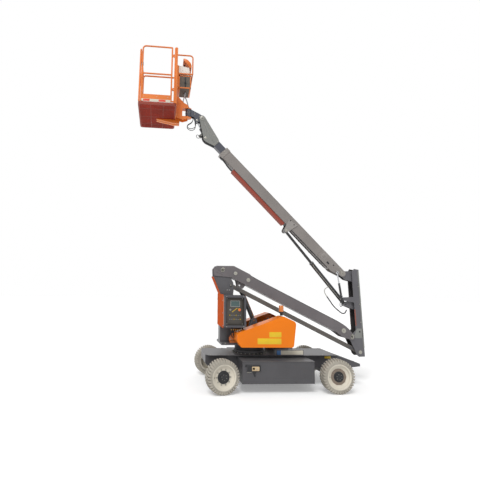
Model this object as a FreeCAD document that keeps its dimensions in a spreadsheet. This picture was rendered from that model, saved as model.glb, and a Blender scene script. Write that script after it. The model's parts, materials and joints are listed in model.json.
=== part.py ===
import FreeCAD
import Part
import Sketcher
import os
import re
from FreeCAD import Placement, Rotation, Vector

# Articulating boom lift, in millimetres. The origin is on the ground under the slewing axis.
# X points forward to the platform, Y to the machine's left and Z up.

# Driving dimensions
SIZES = {
    # wheels, axles and steering
    "front_axle_x": 650,
    "rear_axle_x": -1370,
    "wheel_y": 740,
    "tyre_radius": 283,
    "tyre_wide": 200,
    "carcass_radius": 270,
    "bead_radius": 190,
    "lug_count": 18,
    "lug_arc": 10,
    "lug_root": 40,
    "lug_middle": 8,
    "rim_wall": 10,
    "rim_lip": 9,
    "dish_deep": 45,
    "disc_out": 40,
    "disc_thick": 12,
    "boss_radius": 62,
    "boss_out": 85,
    "boss_in": 30,
    "spindle_radius": 30,
    "spindle_out": 60,
    "casing_radius": 95,
    "stub_radius": 55,
    "run_gap": 5,
    "pin_gap": 0.3,
    "beam_side": 110,
    "kingpin_y": 640,
    "kingpin_radius": 22,
    "kingpost_radius": 40,
    "ear_drop": 95,
    "ear_thick": 20,
    "ear_wide": 84,
    "fork_web_y": 545,
    "steer_rest": 12,
    "steer_arm": 140,
    "steer_arm_drop": 56,
    "steer_arm_thick": 20,
    "steer_arm_wide": 40,
    "tie_rod_radius": 16,
    "tie_rod_rise": 32,
    "tie_pin_radius": 10,
    "tie_eye_radius": 22,
    "steer_cyl_radius": 28,
    "steer_cyl_x": 525,
    "steer_cyl_z": 185,
    "steer_cyl_from": 290,
    "steer_cyl_to": 30,
    "steer_rod_radius": 12,
    "steer_rod_tip": -130,
    "steer_eye_radius": 20,
    "rear_casing_y": 430,
    # chassis
    "deck_z": 564,
    "deck_thick": 8,
    "deck_half": 400,
    "frame_half": 330,
    "nose_x": 870,
    "tail_x": -2010,
    "tail_z": 405,
    "slope_x": -1560,
    "spine_z": 200,
    "box_front_x": 290,
    "box_rear_x": -968,
    "box_half": 750,
    "box_low_z": 160,
    "box_top_z": 526,
    "lid_thick": 10,
    "lid_lip": 6,
    "tow_hole": 13,
    # slewing ring and turntable
    "ring_radius": 280,
    "ring_bore": 220,
    "ring_tall": 51,
    "table_radius": 270,
    "table_plate_z": 720,
    "table_plate_thick": 26,
    "table_half": 285,
    "table_front_x": 575,
    "table_rear_x": -640,
    "outrigger_z": 696,
    "outrigger_wide": 80,
    "hood_hinge_x": -600,
    "hood_hinge_y": 570,
    "hood_pin_radius": 12,
    "hood_pin_tall": 70,
    # column
    "plate_thick": 12,
    "inner_half": 88,
    "column_back_x": 330,
    "column_kink_z": 1627,
    "column_lean_x": 712,
    "column_lean_z": 1948,
    "shoulder_x": 535,
    "shoulder_z": 2074,
    "shoulder_radius": 82,
    "shoulder_pin": 30,
    "link_back": 160,
    "link_drop": 280,
    "link_pin": 20,
    "cover_thick": 4,
    "cover_low_z": 1040,
    "cover_left": 480,
    "cover_right": -200,
    "cover_top_half": 134,
    # counterweight, hoods, control box and beacon
    "weight_half": 268,
    "weight_front_x": -280,
    "weight_top_z": 1130,
    "hood_in": 306,
    "hood_out": 600,
    "hood_wall": 5,
    "hood_past": 20,
    "hood_low_z": 728,
    "hood_round": 55,
    "hood_front_x": 301,
    "hood_nose_x": 391,
    "hood_nose_z": 828,
    "hood_brow_x": 381,
    "hood_brow_z": 964,
    "hood_ridge_x": -493,
    "hood_ridge_z": 1261,
    "hood_tail_x": -720,
    "hood_tail_z": 1160,
    "hood_rear_x": -664,
    "console_front_x": 574,
    "console_back_x": 176,
    "console_low_z": 1056,
    "console_top_z": 1613,
    "console_in": 250,
    "console_out": 550,
    "console_rim": 38,
    "console_deep": 55,
    "console_bevel": 22,
    "beacon_y": 450,
    "beacon_foot": 70,
    "beacon_radius": 42,
    "beacon_tall": 180,
    # lower boom and link
    "lower_angle": 25.83,
    "lower_long": 2807,
    "fork_half": 106,
    "lower_low": -52,
    "lower_high": 143,
    "lower_hump": 28,
    "lower_wall": 8,
    "lug_s": -430,
    "lug_n": -105,
    "lug_in": 42,
    "lug_thick": 12,
    "link_in": 62,
    "link_thick": 18,
    "link_deep": 70,
    # lower lift cylinder
    "lift_base_x": -88,
    "lift_base_z": 1137,
    "lift_radius": 45,
    "lift_barrel": 600,
    "lift_rod": 27,
    "eye_half": 36,
    "eye_radius": 38,
    "cyl_pin": 16,
    # rear upright
    "mast_top_x": 121,
    "mast_top_z": 1210,
    "mast_ear_in": 54,
    "mast_ear_thick": 14,
    "mast_ear_radius": 58,
    "mast_pin": 28,
    "luff_base_x": 69,
    "luff_base_z": 613,
    "luff_ear_in": 42,
    "luff_ear_thick": 12,
    # upper boom
    "luff_rest": 45.6,
    "boom_half": 75,
    "boom_low": -140,
    "boom_high": 60,
    "boom_wall": 7,
    "boom_from": 260,
    "boom_to": 3300,
    "collar_long": 100,
    "collar_proud": 8,
    "luff_pin_s": 1382,
    "luff_pin_n": -225,
    "tray_from": 1500,
    "tray_to": 2980,
    "tray_deep": 62,
    "tray_half": 58,
    "fly_half": 58,
    "fly_low": -98,
    "fly_high": 44,
    "fly_wall": 6,
    "fly_from": 700,
    "fly_to": 3650,
    "nose_thick": 10,
    "tip_s": 4190,
    "tip_n": 125,
    "tip_pin": 22,
    "tip_radius": 60,
    # upper lift cylinder
    "luff_radius": 40,
    "luff_barrel": 1040,
    "luff_rod": 26,
    "luff_bore_from": 560,
    "luff_rod_from": 830,
    "luff_eye": 36,
    # levelling cylinders
    "level_y": 126,
    "level_base_x": 184,
    "level_base_z": 720,
    "level_pin_s": 105,
    "level_pin_n": -83,
    "level_barrel": 300,
    "level_radius": 20,
    "level_rod": 11,
    "level_eye": 24,
    "level_pin": 10,
    "slave_s": 3840,
    "slave_n": -115,
    "slave_barrel": 235,
    "slave_radius": 24,
    "slave_rod": 12,
    "slave_eye": 24,
    "slave_pin": 12,
    # yoke and rotator
    "yoke_in": 38,
    "yoke_thick": 12,
    "yoke_pin_x": 103.7,
    "yoke_pin_z": -44.2,
    "rotator_x": 281,
    "rotator_radius": 62,
    "rotator_low": 25,
    "rotator_tall": 165,
    "rotator_shaft": 25,
    "bracket_in": 66,
    "bracket_thick": 10,
    # platform
    "floor_z": -6,
    "floor_thick": 50,
    "basket_back": 548,
    "basket_long": 730,
    "basket_half": 567,
    "rail_z": 1150,
    "middle_rail_z": 580,
    "rail_radius": 17,
    "rail_bend": 60,
    "toe_in": 4,
    "toe_tall": 155,
    "toe_thick": 4,
    "gate_post_x": 46,
    "gate_axis_x": 78,
    "gate_tube_x": 110,
    "gate_tube_radius": 15,
    "gate_pin": 6,
    "gate_sleeve": 12,
    "gate_sleeve_tall": 40,
    "gate_gap": 8,
    "hoop_radius": 14,
    "hoop_back": 310,
    "hoop_low": 400,
}

# Places worked out from the driving dimensions
PLACES = {
    "beam_half": "beam_side / 2",
    "axle_z": "tyre_radius",
    "belly_z": "axle_z + beam_half",
    "rim_bore": "bead_radius - rim_wall",
    "casing_end": "boss_in - run_gap",
    "plate_half": "inner_half + plate_thick",
    "fork_out": "fork_half + plate_thick",
    "table_top": "table_plate_z + table_plate_thick",
    "ring_top": "deck_z + ring_tall",
    "foot_x": "shoulder_x - link_back",
    "foot_z": "shoulder_z - link_drop",
    "lower_turn": "lower_angle * 1deg",
    "luff_turn": "luff_rest * 1deg",
    "steer_turn": "steer_rest * 1deg",
    "wrist_x": "shoulder_x - lower_long * cos(lower_turn)",
    "wrist_z": "shoulder_z - lower_long * sin(lower_turn)",
    "elbow_x": "wrist_x + mast_top_x",
    "elbow_z": "wrist_z + mast_top_z",
    "tip_x": "elbow_x + tip_s * cos(luff_turn) - tip_n * sin(luff_turn)",
    "tip_z": "elbow_z + tip_s * sin(luff_turn) + tip_n * cos(luff_turn)",
    "lift_dx": "shoulder_x + lug_s * cos(lower_turn) - lug_n * sin(lower_turn) - lift_base_x",
    "lift_dz": "shoulder_z + lug_s * sin(lower_turn) + lug_n * cos(lower_turn) - lift_base_z",
    "lift_long": "sqrt(lift_dx^2 + lift_dz^2)",
    "lift_angle": "atan2(lift_dz; lift_dx) / 1deg",
    "luff_dx": "mast_top_x + luff_pin_s * cos(luff_turn) - luff_pin_n * sin(luff_turn) - luff_base_x",
    "luff_dz": "mast_top_z + luff_pin_s * sin(luff_turn) + luff_pin_n * cos(luff_turn) - luff_base_z",
    "luff_long": "sqrt(luff_dx^2 + luff_dz^2)",
    "luff_angle": "atan2(luff_dz; luff_dx) / 1deg",
    "level_dx": "mast_top_x + level_pin_s * cos(luff_turn) - level_pin_n * sin(luff_turn) - level_base_x",
    "level_dz": "mast_top_z + level_pin_s * sin(luff_turn) + level_pin_n * cos(luff_turn) - level_base_z",
    "level_long": "sqrt(level_dx^2 + level_dz^2)",
    "level_angle": "atan2(level_dz; level_dx) / 1deg",
    "slave_x": "elbow_x + slave_s * cos(luff_turn) - slave_n * sin(luff_turn)",
    "slave_z": "elbow_z + slave_s * sin(luff_turn) + slave_n * cos(luff_turn)",
    "slave_dx": "tip_x + yoke_pin_x - slave_x",
    "slave_dz": "tip_z + yoke_pin_z - slave_z",
    "slave_long": "sqrt(slave_dx^2 + slave_dz^2)",
    "slave_angle": "atan2(slave_dz; slave_dx) / 1deg",
    "wheel_out": "wheel_y - kingpin_y",
    "tie_z": "axle_z - steer_arm_drop + steer_arm_thick / 2 + tie_rod_rise",
    "rail_x_low": "basket_back + rail_radius",
    "rail_x_high": "basket_back + basket_long - rail_radius",
    "rail_y": "basket_half - rail_radius",
    "deck_top": "floor_z + floor_thick",
    "rail_top": "deck_top + rail_z",
    "rail_middle": "deck_top + middle_rail_z",
    "gate_low": "deck_top + 20",
    "gate_end": "rail_x_high - rail_radius - gate_gap - gate_tube_radius",
}

NAMED = re.compile(r"[a-z][a-z_0-9]*")
TURNS = {"x": (Vector(0, 1, 0), 90), "y": (Vector(1, 0, 0), -90), "z": (Vector(0, 0, 1), 0)}

doc = FreeCAD.newDocument("boom_lift")
sheet = doc.addObject("Spreadsheet::Sheet", "Sizes")
for row, (alias, number) in enumerate(SIZES.items(), 1):
    sheet.set(f"A{row}", alias)
    sheet.set(f"B{row}", str(number))
    sheet.setAlias(f"B{row}", alias)
doc.recompute()
nodes = []


def bound(text):
    """The expression with each named size as its cell and each named place worked out."""

    def swap(match):
        word = match.group()
        if word in SIZES:
            return f"Sizes.{word}"
        if word in PLACES:
            return f"({bound(PLACES[word])})"
        return word

    return NAMED.sub(swap, str(text))


def bind(item, **texts):
    """Tie properties to the sheet; a double underscore stands for a dot."""
    for name, text in texts.items():
        item.setExpression(name.replace("__", "."), bound(text))
    return item


def moved(item, x, y, z):
    """Tie a piece's place to the sheet."""
    return bind(item, Placement__Base__x=x, Placement__Base__y=y, Placement__Base__z=z)


def keep(item, label, x="0", y="0", z="0", turn=None, about=(0, -1, 0)):
    """Name a finished sub-part and put its own origin where it belongs."""
    item.Label = label
    if turn is not None:
        item.Placement = Placement(Vector(), Rotation(Vector(*about), 1))
        bind(item, Placement__Rotation__Angle=f"({turn}) * 1deg")
    moved(item, x, y, z)
    nodes.append(item)
    return item


def block(x, y, z):
    """A box between the low and high place given along each axis."""
    item = doc.addObject("Part::Box", "block")
    for axis, side, (low, high) in zip("xyz", ("Length", "Width", "Height"), (x, y, z)):
        bind(item, **{side: f"({high}) - ({low})", f"Placement__Base__{axis}": low})
    return item


def rod(axis, start, long, radius):
    """A round bar from a point along one axis."""
    item = doc.addObject("Part::Cylinder", "bar")
    item.Placement = Placement(Vector(), Rotation(*TURNS[axis]))
    bind(item, Radius=radius, Height=long)
    return moved(item, *start)


def cross_pin(x, z, half, radius):
    """A round bar across the machine, centred on its middle plane."""
    return rod("y", (x, f"-({half})", z), f"2 * ({half})", radius)


def bend(place, ring, tube, start, end):
    """A quarter of a bent tube round a place, from the start direction to the end direction."""
    item = doc.addObject("Part::Torus", "bend")
    item.Angle3 = 90
    item.Placement = Placement(Vector(), Rotation(start, end, start.cross(end), "XYZ"))
    bind(item, Radius1=ring, Radius2=tube)
    return moved(item, *place)


def joined(*pieces):
    """All the pieces as one."""
    if len(pieces) == 1:
        return pieces[0]
    item = doc.addObject("Part::MultiFuse", "joined")
    item.Shapes = list(pieces)
    return item


def without(base, *tools):
    """The base less the tools."""
    item = doc.addObject("Part::Cut", "cut")
    item.Base = base
    item.Tool = joined(*tools)
    return item


def both_sides(item):
    """The piece and its mirror image across the machine's middle plane."""
    mirrored = doc.addObject("Part::Mirroring", "mirrored")
    mirrored.Source = item
    mirrored.Normal = Vector(0, 1, 0)
    return joined(item, mirrored)


def outline(owner, rows, plane="XZ_Plane"):
    """A closed sketch in a body; each row holds the two places of one corner."""
    sketch = owner.newObject("Sketcher::SketchObject", "outline")
    sketch.AttachmentSupport = [(next(f for f in owner.Origin.OriginFeatures if f.Role == plane), "")]
    sketch.MapMode = "FlatFace"
    count = len(rows)
    guess = [Vector(doc_value(across), doc_value(up), 0) for across, up in rows]
    for n in range(count):
        sketch.addGeometry(Part.LineSegment(guess[n], guess[(n + 1) % count]), False)
    for n, (across, up) in enumerate(rows):
        sketch.addConstraint(Sketcher.Constraint("Coincident", n, 2, (n + 1) % count, 1))
        for kind, place in (("DistanceX", across), ("DistanceY", up)):
            index = sketch.addConstraint(Sketcher.Constraint(kind, -1, 1, n, 1, doc_value(place)))
            sketch.setExpression(f"Constraints[{index}]", bound(place))
    return sketch


def doc_value(text):
    """The present value of an expression."""
    return float(sheet.evalExpression(bound(text).replace("Sizes.", "")))


def plate(rows, low, high, plane="XZ_Plane"):
    """An outline as a flat plate between two distances from its plane, to the left or upwards."""
    body = doc.addObject("PartDesign::Body", "plate")
    sketch = outline(body, rows, plane)
    sketch.AttachmentOffset = Placement(Vector(0, 0, 1), Rotation())
    far = f"-({high})" if plane == "XZ_Plane" else low
    bind(sketch, AttachmentOffset__Base__z=far)
    pad = body.newObject("PartDesign::Pad", "pad")
    pad.Profile = sketch
    bind(pad, Length=f"({high}) - ({low})")
    return body


def plates(rows, inner, outer):
    """Two like plates, one each side of the machine's middle plane."""
    return both_sides(plate(rows, inner, outer))


def turned(rows):
    """A body made by turning an outline about Y; rows hold the distance along Y and the radius."""
    body = doc.addObject("PartDesign::Body", "turned")
    sketch = outline(body, rows, "YZ_Plane")
    spin = body.newObject("PartDesign::Revolution", "spin")
    spin.Profile = sketch
    spin.ReferenceAxis = (sketch, ["H_Axis"])
    spin.Angle = 360
    return body


def lug_row(body, rows, first):
    """A ring of tread lugs, each a short turn of its outline, spaced evenly from the first angle."""
    sketch = outline(body, rows, "YZ_Plane")
    sketch.AttachmentOffset = Placement(Vector(), Rotation(Vector(1, 0, 0), first))
    lug = body.newObject("PartDesign::Revolution", "lug")
    lug.Profile = sketch
    lug.ReferenceAxis = (sketch, ["H_Axis"])
    lug.Midplane = True
    bind(lug, Angle="lug_arc")
    ring = body.newObject("PartDesign::PolarPattern", "ring")
    ring.Originals = [lug]
    ring.Axis = (sketch, ["H_Axis"])
    ring.Angle = 360
    bind(ring, Occurrences="lug_count")
    body.Tip = ring


# Hydraulic cylinders lie along their own X axis, from the pin of the barrel's eye.
def barrel(radius, long, bore, bore_from, eye, eye_half, pin, pin_half):
    """A cylinder barrel with its foot eye and pin, bored for the rod."""
    start = f"{eye} + 20"
    neck = rod("x", ("0", "0", "0"), f"{start} + 1", f"{eye_half} - 4 - pin_gap")
    tube = rod("x", (start, "0", "0"), f"{long} - ({start})", radius)
    gland = rod("x", (f"{long} - 30", "0", "0"), "30", f"{radius} + 4")
    foot = cross_pin("0", "0", eye_half, eye)
    hollow = rod("x", (bore_from, "0", "0"), f"{long} - {bore_from} + 1", f"{bore} + pin_gap")
    axle = cross_pin("0", "0", pin_half, pin)
    return joined(without(joined(neck, tube, gland, foot), hollow), axle)


def piston_rod(radius, start, long, eye, eye_half, hole):
    """A bright rod with the eye at its end; the pin's hole is open."""
    bar = rod("x", (start, "0", "0"), f"{long} - {start}", radius)
    end = cross_pin(long, "0", eye_half, eye)
    return without(joined(bar, end), cross_pin(long, "0", f"2 * ({eye_half})", hole))


# Wheels
def make_wheels():
    """Four tyres with shoulder lugs and their dished rims; outwards is the wheel's own Y."""
    half = "tyre_wide / 2"
    tyre_rows = [
        (f"-{half} + 12", "bead_radius"),
        (f"{half} - 12", "bead_radius"),
        (f"{half}", "bead_radius + 25"),
        (f"{half}", "carcass_radius - 28"),
        (f"{half} - 22", "carcass_radius"),
        (f"-{half} + 22", "carcass_radius"),
        (f"-{half}", "carcass_radius - 28"),
        (f"-{half}", "bead_radius + 25"),
    ]
    rim_rows = [
        (f"-{half} + 2", "bead_radius + rim_lip"),
        (f"-{half} + 12", "bead_radius"),
        (f"{half} - 12", "bead_radius"),
        (f"{half} - 2", "bead_radius + rim_lip"),
        (f"{half} - 2", "rim_bore"),
        ("disc_out + disc_thick + 20", "rim_bore"),
        ("disc_out + disc_thick", "rim_bore - dish_deep"),
        ("disc_out + disc_thick", "boss_radius"),
        ("boss_out", "boss_radius - 6"),
        ("boss_out", "0"),
        ("spindle_out + 3", "0"),
        ("spindle_out + 3", "spindle_radius + pin_gap"),
        ("boss_in", "spindle_radius + pin_gap"),
        ("boss_in", "boss_radius"),
        ("disc_out", "boss_radius"),
        ("disc_out", "rim_bore - dish_deep"),
        ("disc_out + 18", "rim_bore"),
        (f"-{half} + 2", "rim_bore"),
    ]
    corners = (
        ("front_left", "front_axle_x", 1),
        ("front_right", "front_axle_x", -1),
        ("rear_left", "rear_axle_x", 1),
        ("rear_right", "rear_axle_x", -1),
    )
    for name, x, side in corners:
        steered = name.startswith("front")
        turn = "steer_rest" if steered else "0"
        centre_x, centre_y = x, f"{side} * wheel_y"
        if steered:
            centre_x = f"{x} - {side} * wheel_out * sin(steer_turn)"
            centre_y = f"{side} * (kingpin_y + wheel_out * cos(steer_turn))"
        if side < 0:
            turn = f"{turn} + 180"
        tyre = turned(tyre_rows)
        for end, first in ((1, 0), (-1, 10)):
            lug_rows = [
                (f"{end} * lug_middle / 2", "carcass_radius - 4"),
                (f"{end} * lug_middle / 2", "tyre_radius"),
                (f"{end} * ({half} - 14)", "tyre_radius"),
                (f"{end} * {half}", "tyre_radius - 22"),
                (f"{end} * {half}", "carcass_radius - lug_root"),
                (f"{end} * ({half} - 6)", "carcass_radius - lug_root"),
                (f"{end} * ({half} - 34)", "carcass_radius - 6"),
            ]
            lug_row(tyre, lug_rows, first)
        keep(tyre, f"tyre_{name}", centre_x, centre_y, "axle_z", turn, (0, 0, 1))
        keep(turned(rim_rows), f"rim_{name}", centre_x, centre_y, "axle_z", turn, (0, 0, 1))


# Axles and steering
def make_front_axle():
    """The front axle beam, whose forked ends hold the kingpins."""
    ear_z = "axle_z + ear_drop"
    low_z = "axle_z - ear_drop"
    half = "ear_wide / 2"
    across = (f"front_axle_x - {half}", f"front_axle_x + {half}")
    beam = block(
        ("front_axle_x - beam_half", "front_axle_x + beam_half"),
        ("-fork_web_y", "fork_web_y"),
        ("axle_z - beam_half", "belly_z"),
    )
    web_tall = (f"{low_z} - ear_thick", f"{ear_z} + ear_thick")
    web = block(across, ("fork_web_y - 20", "fork_web_y + 15"), web_tall)
    pieces = [web]
    for low in (ear_z, f"{low_z} - ear_thick"):
        pieces.append(block(across, ("fork_web_y", "kingpin_y"), (low, f"{low} + ear_thick")))
        pieces.append(rod("z", ("front_axle_x", "kingpin_y", low), "ear_thick", half))
    end = without(
        joined(*pieces),
        rod("z", ("front_axle_x", "kingpin_y", "0"), "2 * axle_z", "kingpin_radius + pin_gap"),
    )
    side = ("steer_cyl_from", "steer_cyl_from + 40")
    foot_z = ("steer_cyl_z - steer_cyl_radius", "steer_cyl_z + steer_cyl_radius")
    foot = block(("steer_cyl_x - steer_cyl_radius", "front_axle_x"), side, foot_z)
    bracket = block(("front_axle_x - 40", "front_axle_x"), side, ("steer_cyl_z", "axle_z"))
    keep(joined(beam, both_sides(end), foot, bracket), "front_axle")


def make_rear_axle():
    """The rear axle beam with a drive casing and spindle at each end."""
    beam = block(
        ("rear_axle_x - beam_half", "rear_axle_x + beam_half"),
        ("-rear_casing_y", "rear_casing_y"),
        ("axle_z - beam_half", "belly_z"),
    )
    root = ("rear_axle_x", "rear_casing_y", "axle_z")
    casing = rod("y", root, "wheel_y + casing_end - rear_casing_y", "casing_radius")
    flange = rod("y", root, "30", "casing_radius + 18")
    spindle = rod("y", ("rear_axle_x", "wheel_y", "axle_z"), "spindle_out", "spindle_radius")
    keep(joined(beam, both_sides(joined(casing, flange, spindle))), "rear_axle")


def make_knuckles():
    """The two steering knuckles; each one's own origin is on its kingpin at axle height."""
    for name, side in (("left", 1), ("right", -1)):
        post = rod("z", ("0", "0", "-ear_drop + 2"), "2 * ear_drop - 4", "kingpost_radius")
        pin = rod("z", ("0", "0", "-ear_drop - ear_thick"), "2 * (ear_drop + ear_thick)", "kingpin_radius")
        stub = rod("y", ("0", "0", "0"), "wheel_out + casing_end", "stub_radius")
        spindle = rod("y", ("0", "0", "0"), "wheel_out + spindle_out", "spindle_radius")
        pieces = [post, pin, stub, spindle]
        arm_z = "-steer_arm_drop - steer_arm_thick / 2"
        reach = ("-steer_arm", "0") if side > 0 else ("0", "steer_arm")
        tip = f"{-side} * steer_arm"
        arm_tall = (arm_z, f"{arm_z} + steer_arm_thick")
        arm = block(reach, ("-steer_arm_wide / 2", "steer_arm_wide / 2"), arm_tall)
        eye = rod("z", (tip, "0", arm_z), "steer_arm_thick", "tie_eye_radius")
        hole = rod("z", (tip, "0", f"{arm_z} - 1"), "steer_arm_thick + 2", "tie_pin_radius + pin_gap")
        turn = "steer_rest" if side > 0 else "steer_rest + 180"
        knuckle = joined(without(joined(arm, eye), hole), *pieces)
        keep(knuckle, f"knuckle_{name}", "front_axle_x", f"{side} * kingpin_y", "axle_z", turn, (0, 0, 1))


def make_tie_rod():
    """The tie rod between the knuckle arms, with its lug for the steering cylinder."""
    bar = rod("y", ("0", "-kingpin_y", "0"), "2 * kingpin_y", "tie_rod_radius")
    pieces = [bar]
    for y in ("kingpin_y", "-kingpin_y"):
        pieces.append(rod("z", ("0", y, "-tie_rod_rise + 1"), "tie_rod_rise + 16", "tie_eye_radius"))
        pin_z = "-tie_rod_rise - steer_arm_thick"
        pieces.append(rod("z", ("0", y, pin_z), "tie_rod_rise + steer_arm_thick", "tie_pin_radius"))
    shift = "steer_arm * cos(steer_turn)"
    slide = "steer_arm * sin(steer_turn)"
    lug_y = f"steer_rod_tip + {slide}"
    lug_z = "steer_cyl_z + steer_eye_radius / 2 + run_gap - tie_z"
    lug = block(("-14", "30"), (f"{lug_y} - 28", f"{lug_y} + 28"), (lug_z, "0"))
    keep(joined(lug, *pieces), "tie_rod", f"front_axle_x - {shift}", f"-({slide})", "tie_z")


def make_steering_cylinder():
    """The steering cylinder on the axle and its rod to the tie rod's lug."""
    long = "steer_cyl_from - steer_cyl_to"
    tube = rod("y", ("steer_cyl_x", "steer_cyl_to", "steer_cyl_z"), long, "steer_cyl_radius")
    mouth = ("steer_cyl_x", "steer_cyl_to - 1", "steer_cyl_z")
    bore = rod("y", mouth, f"{long} - 14", "steer_rod_radius + pin_gap")
    keep(without(tube, bore), "steer_cylinder")
    tip = ("steer_cyl_x", "steer_rod_tip", "steer_cyl_z")
    bar = rod("y", tip, "steer_cyl_to - steer_rod_tip + 120", "steer_rod_radius")
    eye_place = ("steer_cyl_x", "steer_rod_tip", "steer_cyl_z - steer_eye_radius / 2")
    eye = rod("z", eye_place, "steer_eye_radius", "steer_eye_radius")
    keep(joined(bar, eye), "steer_rod")


# Chassis
def make_chassis():
    """The chassis frame with its deck, the battery boxes between the wheels and the slewing ring."""
    rows = [
        ("nose_x", "deck_z - deck_thick"),
        ("nose_x", "belly_z + 80"),
        ("nose_x - 80", "belly_z"),
        ("box_front_x + 10", "belly_z"),
        ("box_front_x + 10", "spine_z"),
        ("box_rear_x - 10", "spine_z"),
        ("box_rear_x - 10", "belly_z"),
        ("tail_x + 200", "belly_z"),
        ("tail_x", "belly_z + 20"),
        ("tail_x", "tail_z"),
        ("slope_x", "deck_z - deck_thick"),
    ]
    frame = plate(rows, "-frame_half", "frame_half")
    deck = [
        ("slope_x", "-deck_half"),
        ("nose_x - 60", "-deck_half"),
        ("nose_x", "-frame_half"),
        ("nose_x", "frame_half"),
        ("nose_x - 60", "deck_half"),
        ("slope_x", "deck_half"),
    ]
    top = plate(deck, "deck_z - deck_thick", "deck_z", "XY_Plane")
    eye = without(
        block(("tail_x - 45", "tail_x"), ("-15", "15"), ("belly_z + 5", "tail_z - 10")),
        cross_pin("tail_x - 22", "belly_z + 32", "40", "tow_hole"),
    )
    keep(joined(frame, top, eye), "chassis_frame")
    sides = ("frame_half", "box_half")
    body = block(("box_rear_x", "box_front_x"), sides, ("box_low_z", "box_top_z"))
    lid = block(
        ("box_rear_x - lid_lip", "box_front_x + lid_lip / 2"),
        ("frame_half", "box_half + lid_lip"),
        ("box_top_z - lid_thick", "box_top_z"),
    )
    notch = block(
        ("box_front_x - 110", "box_front_x - 50"),
        ("box_half - 25", "box_half + 20"),
        ("box_top_z - 95", "box_top_z - 55"),
    )
    keep(both_sides(without(joined(body, lid), notch)), "battery_boxes")
    ring = rod("z", ("0", "0", "deck_z"), "ring_tall", "ring_radius")
    bore = rod("z", ("0", "0", "deck_z - 1"), "ring_tall + 2", "ring_bore")
    keep(without(ring, bore), "slew_ring")


# Turntable
def column_front(ahead):
    """The front line of the column from its foot to the lean at its top."""
    return [
        (f"table_front_x + {ahead}", "column_kink_z"),
        (f"column_lean_x + {ahead}", "column_lean_z"),
    ]


def make_turntable():
    """The turntable with its pedestal, the column plates, the cylinder's clevis and the hood arms."""
    pedestal_tall = "table_plate_z - ring_top - run_gap"
    pedestal = rod("z", ("0", "0", "ring_top + run_gap"), pedestal_tall, "table_radius")
    spigot = rod("z", ("0", "0", "deck_z + run_gap"), "ring_tall", "ring_bore - pin_gap")
    bed_tall = ("table_plate_z", "table_top")
    bed = block(("table_rear_x", "table_front_x"), ("-table_half", "table_half"), bed_tall)
    column_rows = [
        ("table_front_x", "table_top"),
        *column_front("0"),
        ("column_lean_x - 30", "column_lean_z + 30"),
        ("shoulder_x + shoulder_radius", "shoulder_z"),
        ("shoulder_x - shoulder_radius", "shoulder_z"),
        ("foot_x - 50", "foot_z + 50"),
        ("foot_x - 62", "foot_z - 60"),
        ("column_back_x", "foot_z - 200"),
        ("column_back_x", "table_top"),
    ]
    round_top = rod("y", ("shoulder_x", "inner_half", "shoulder_z"), "plate_thick", "shoulder_radius")
    side = joined(plate(column_rows, "inner_half", "plate_half"), round_top)
    holes = [
        cross_pin("shoulder_x", "shoulder_z", "plate_half + 1", "shoulder_pin + pin_gap"),
        cross_pin("foot_x", "foot_z", "plate_half + 1", "link_pin + pin_gap"),
    ]
    web_rows = [
        ("table_front_x", "table_top"),
        *column_front("0"),
        ("column_lean_x - plate_thick", "column_lean_z"),
        ("table_front_x - plate_thick", "column_kink_z"),
        ("table_front_x - plate_thick", "table_top"),
    ]
    web = plate(web_rows, "-inner_half", "inner_half")
    column = joined(without(both_sides(side), *holes), web)
    clevis_rows = [
        ("lift_base_x - 130", "table_top"),
        ("lift_base_x + 150", "table_top"),
        ("lift_base_x + 55", "lift_base_z"),
        ("lift_base_x - 55", "lift_base_z"),
    ]
    clevis_top = rod("y", ("lift_base_x", "lug_in", "lift_base_z"), "lug_thick", "55")
    clevis = without(
        both_sides(joined(plate(clevis_rows, "lug_in", "lug_in + lug_thick"), clevis_top)),
        cross_pin("lift_base_x", "lift_base_z", "lug_in + lug_thick + 1", "cyl_pin + pin_gap"),
    )
    arm = block(
        ("hood_hinge_x - outrigger_wide / 2", "hood_hinge_x + outrigger_wide / 2"),
        ("0", "hood_hinge_y + 20"),
        ("outrigger_z", "table_plate_z + 2"),
    )
    hinge_foot = ("hood_hinge_x", "hood_hinge_y", "table_plate_z")
    hinge_pin = rod("z", hinge_foot, "hood_pin_tall", "hood_pin_radius")
    arms = both_sides(joined(arm, hinge_pin))
    console_arm = block(
        ("column_back_x + 60", "column_back_x + 130"),
        ("plate_half", "console_in"),
        ("console_low_z + 120", "console_low_z + 320"),
    )
    keep(joined(pedestal, spigot, bed, column, clevis, arms, console_arm), "turntable_frame")


def make_front_cover():
    """The orange sheet on the column's front, bent to follow its lean."""
    face = "table_front_x + 0.3"
    lower = block(
        (face, "table_front_x + cover_thick"),
        ("cover_right", "cover_left"),
        ("cover_low_z", "column_kink_z"),
    )
    upper_rows = [
        *column_front("0.3"),
        ("column_lean_x + cover_thick", "column_lean_z"),
        ("table_front_x + cover_thick", "column_kink_z"),
    ]
    keep(joined(lower, plate(upper_rows, "-cover_top_half", "cover_top_half")), "front_cover")


def make_counterweight():
    """The cast counterweight at the turntable's rear."""
    rows = [
        ("table_rear_x", "table_top"),
        ("weight_front_x", "table_top"),
        ("weight_front_x", "weight_top_z - 90"),
        ("weight_front_x - 90", "weight_top_z"),
        ("table_rear_x + 60", "weight_top_z"),
        ("table_rear_x", "weight_top_z - 120"),
    ]
    keep(plate(rows, "-weight_half", "weight_half"), "counterweight")


def edges_at(shape, corners):
    """The names of the edges along Y that pass through the given corners of the side view."""
    names = []
    for number, edge in enumerate(shape.Edges, 1):
        ends = [vertex.Point for vertex in edge.Vertexes]
        if len(ends) < 2 or abs(ends[0].x - ends[1].x) + abs(ends[0].z - ends[1].z) > 0.01:
            continue
        if any(abs(ends[0].x - x) + abs(ends[0].z - z) < 0.5 for x, z in corners):
            names.append(f"Edge{number}")
    return names


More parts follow.
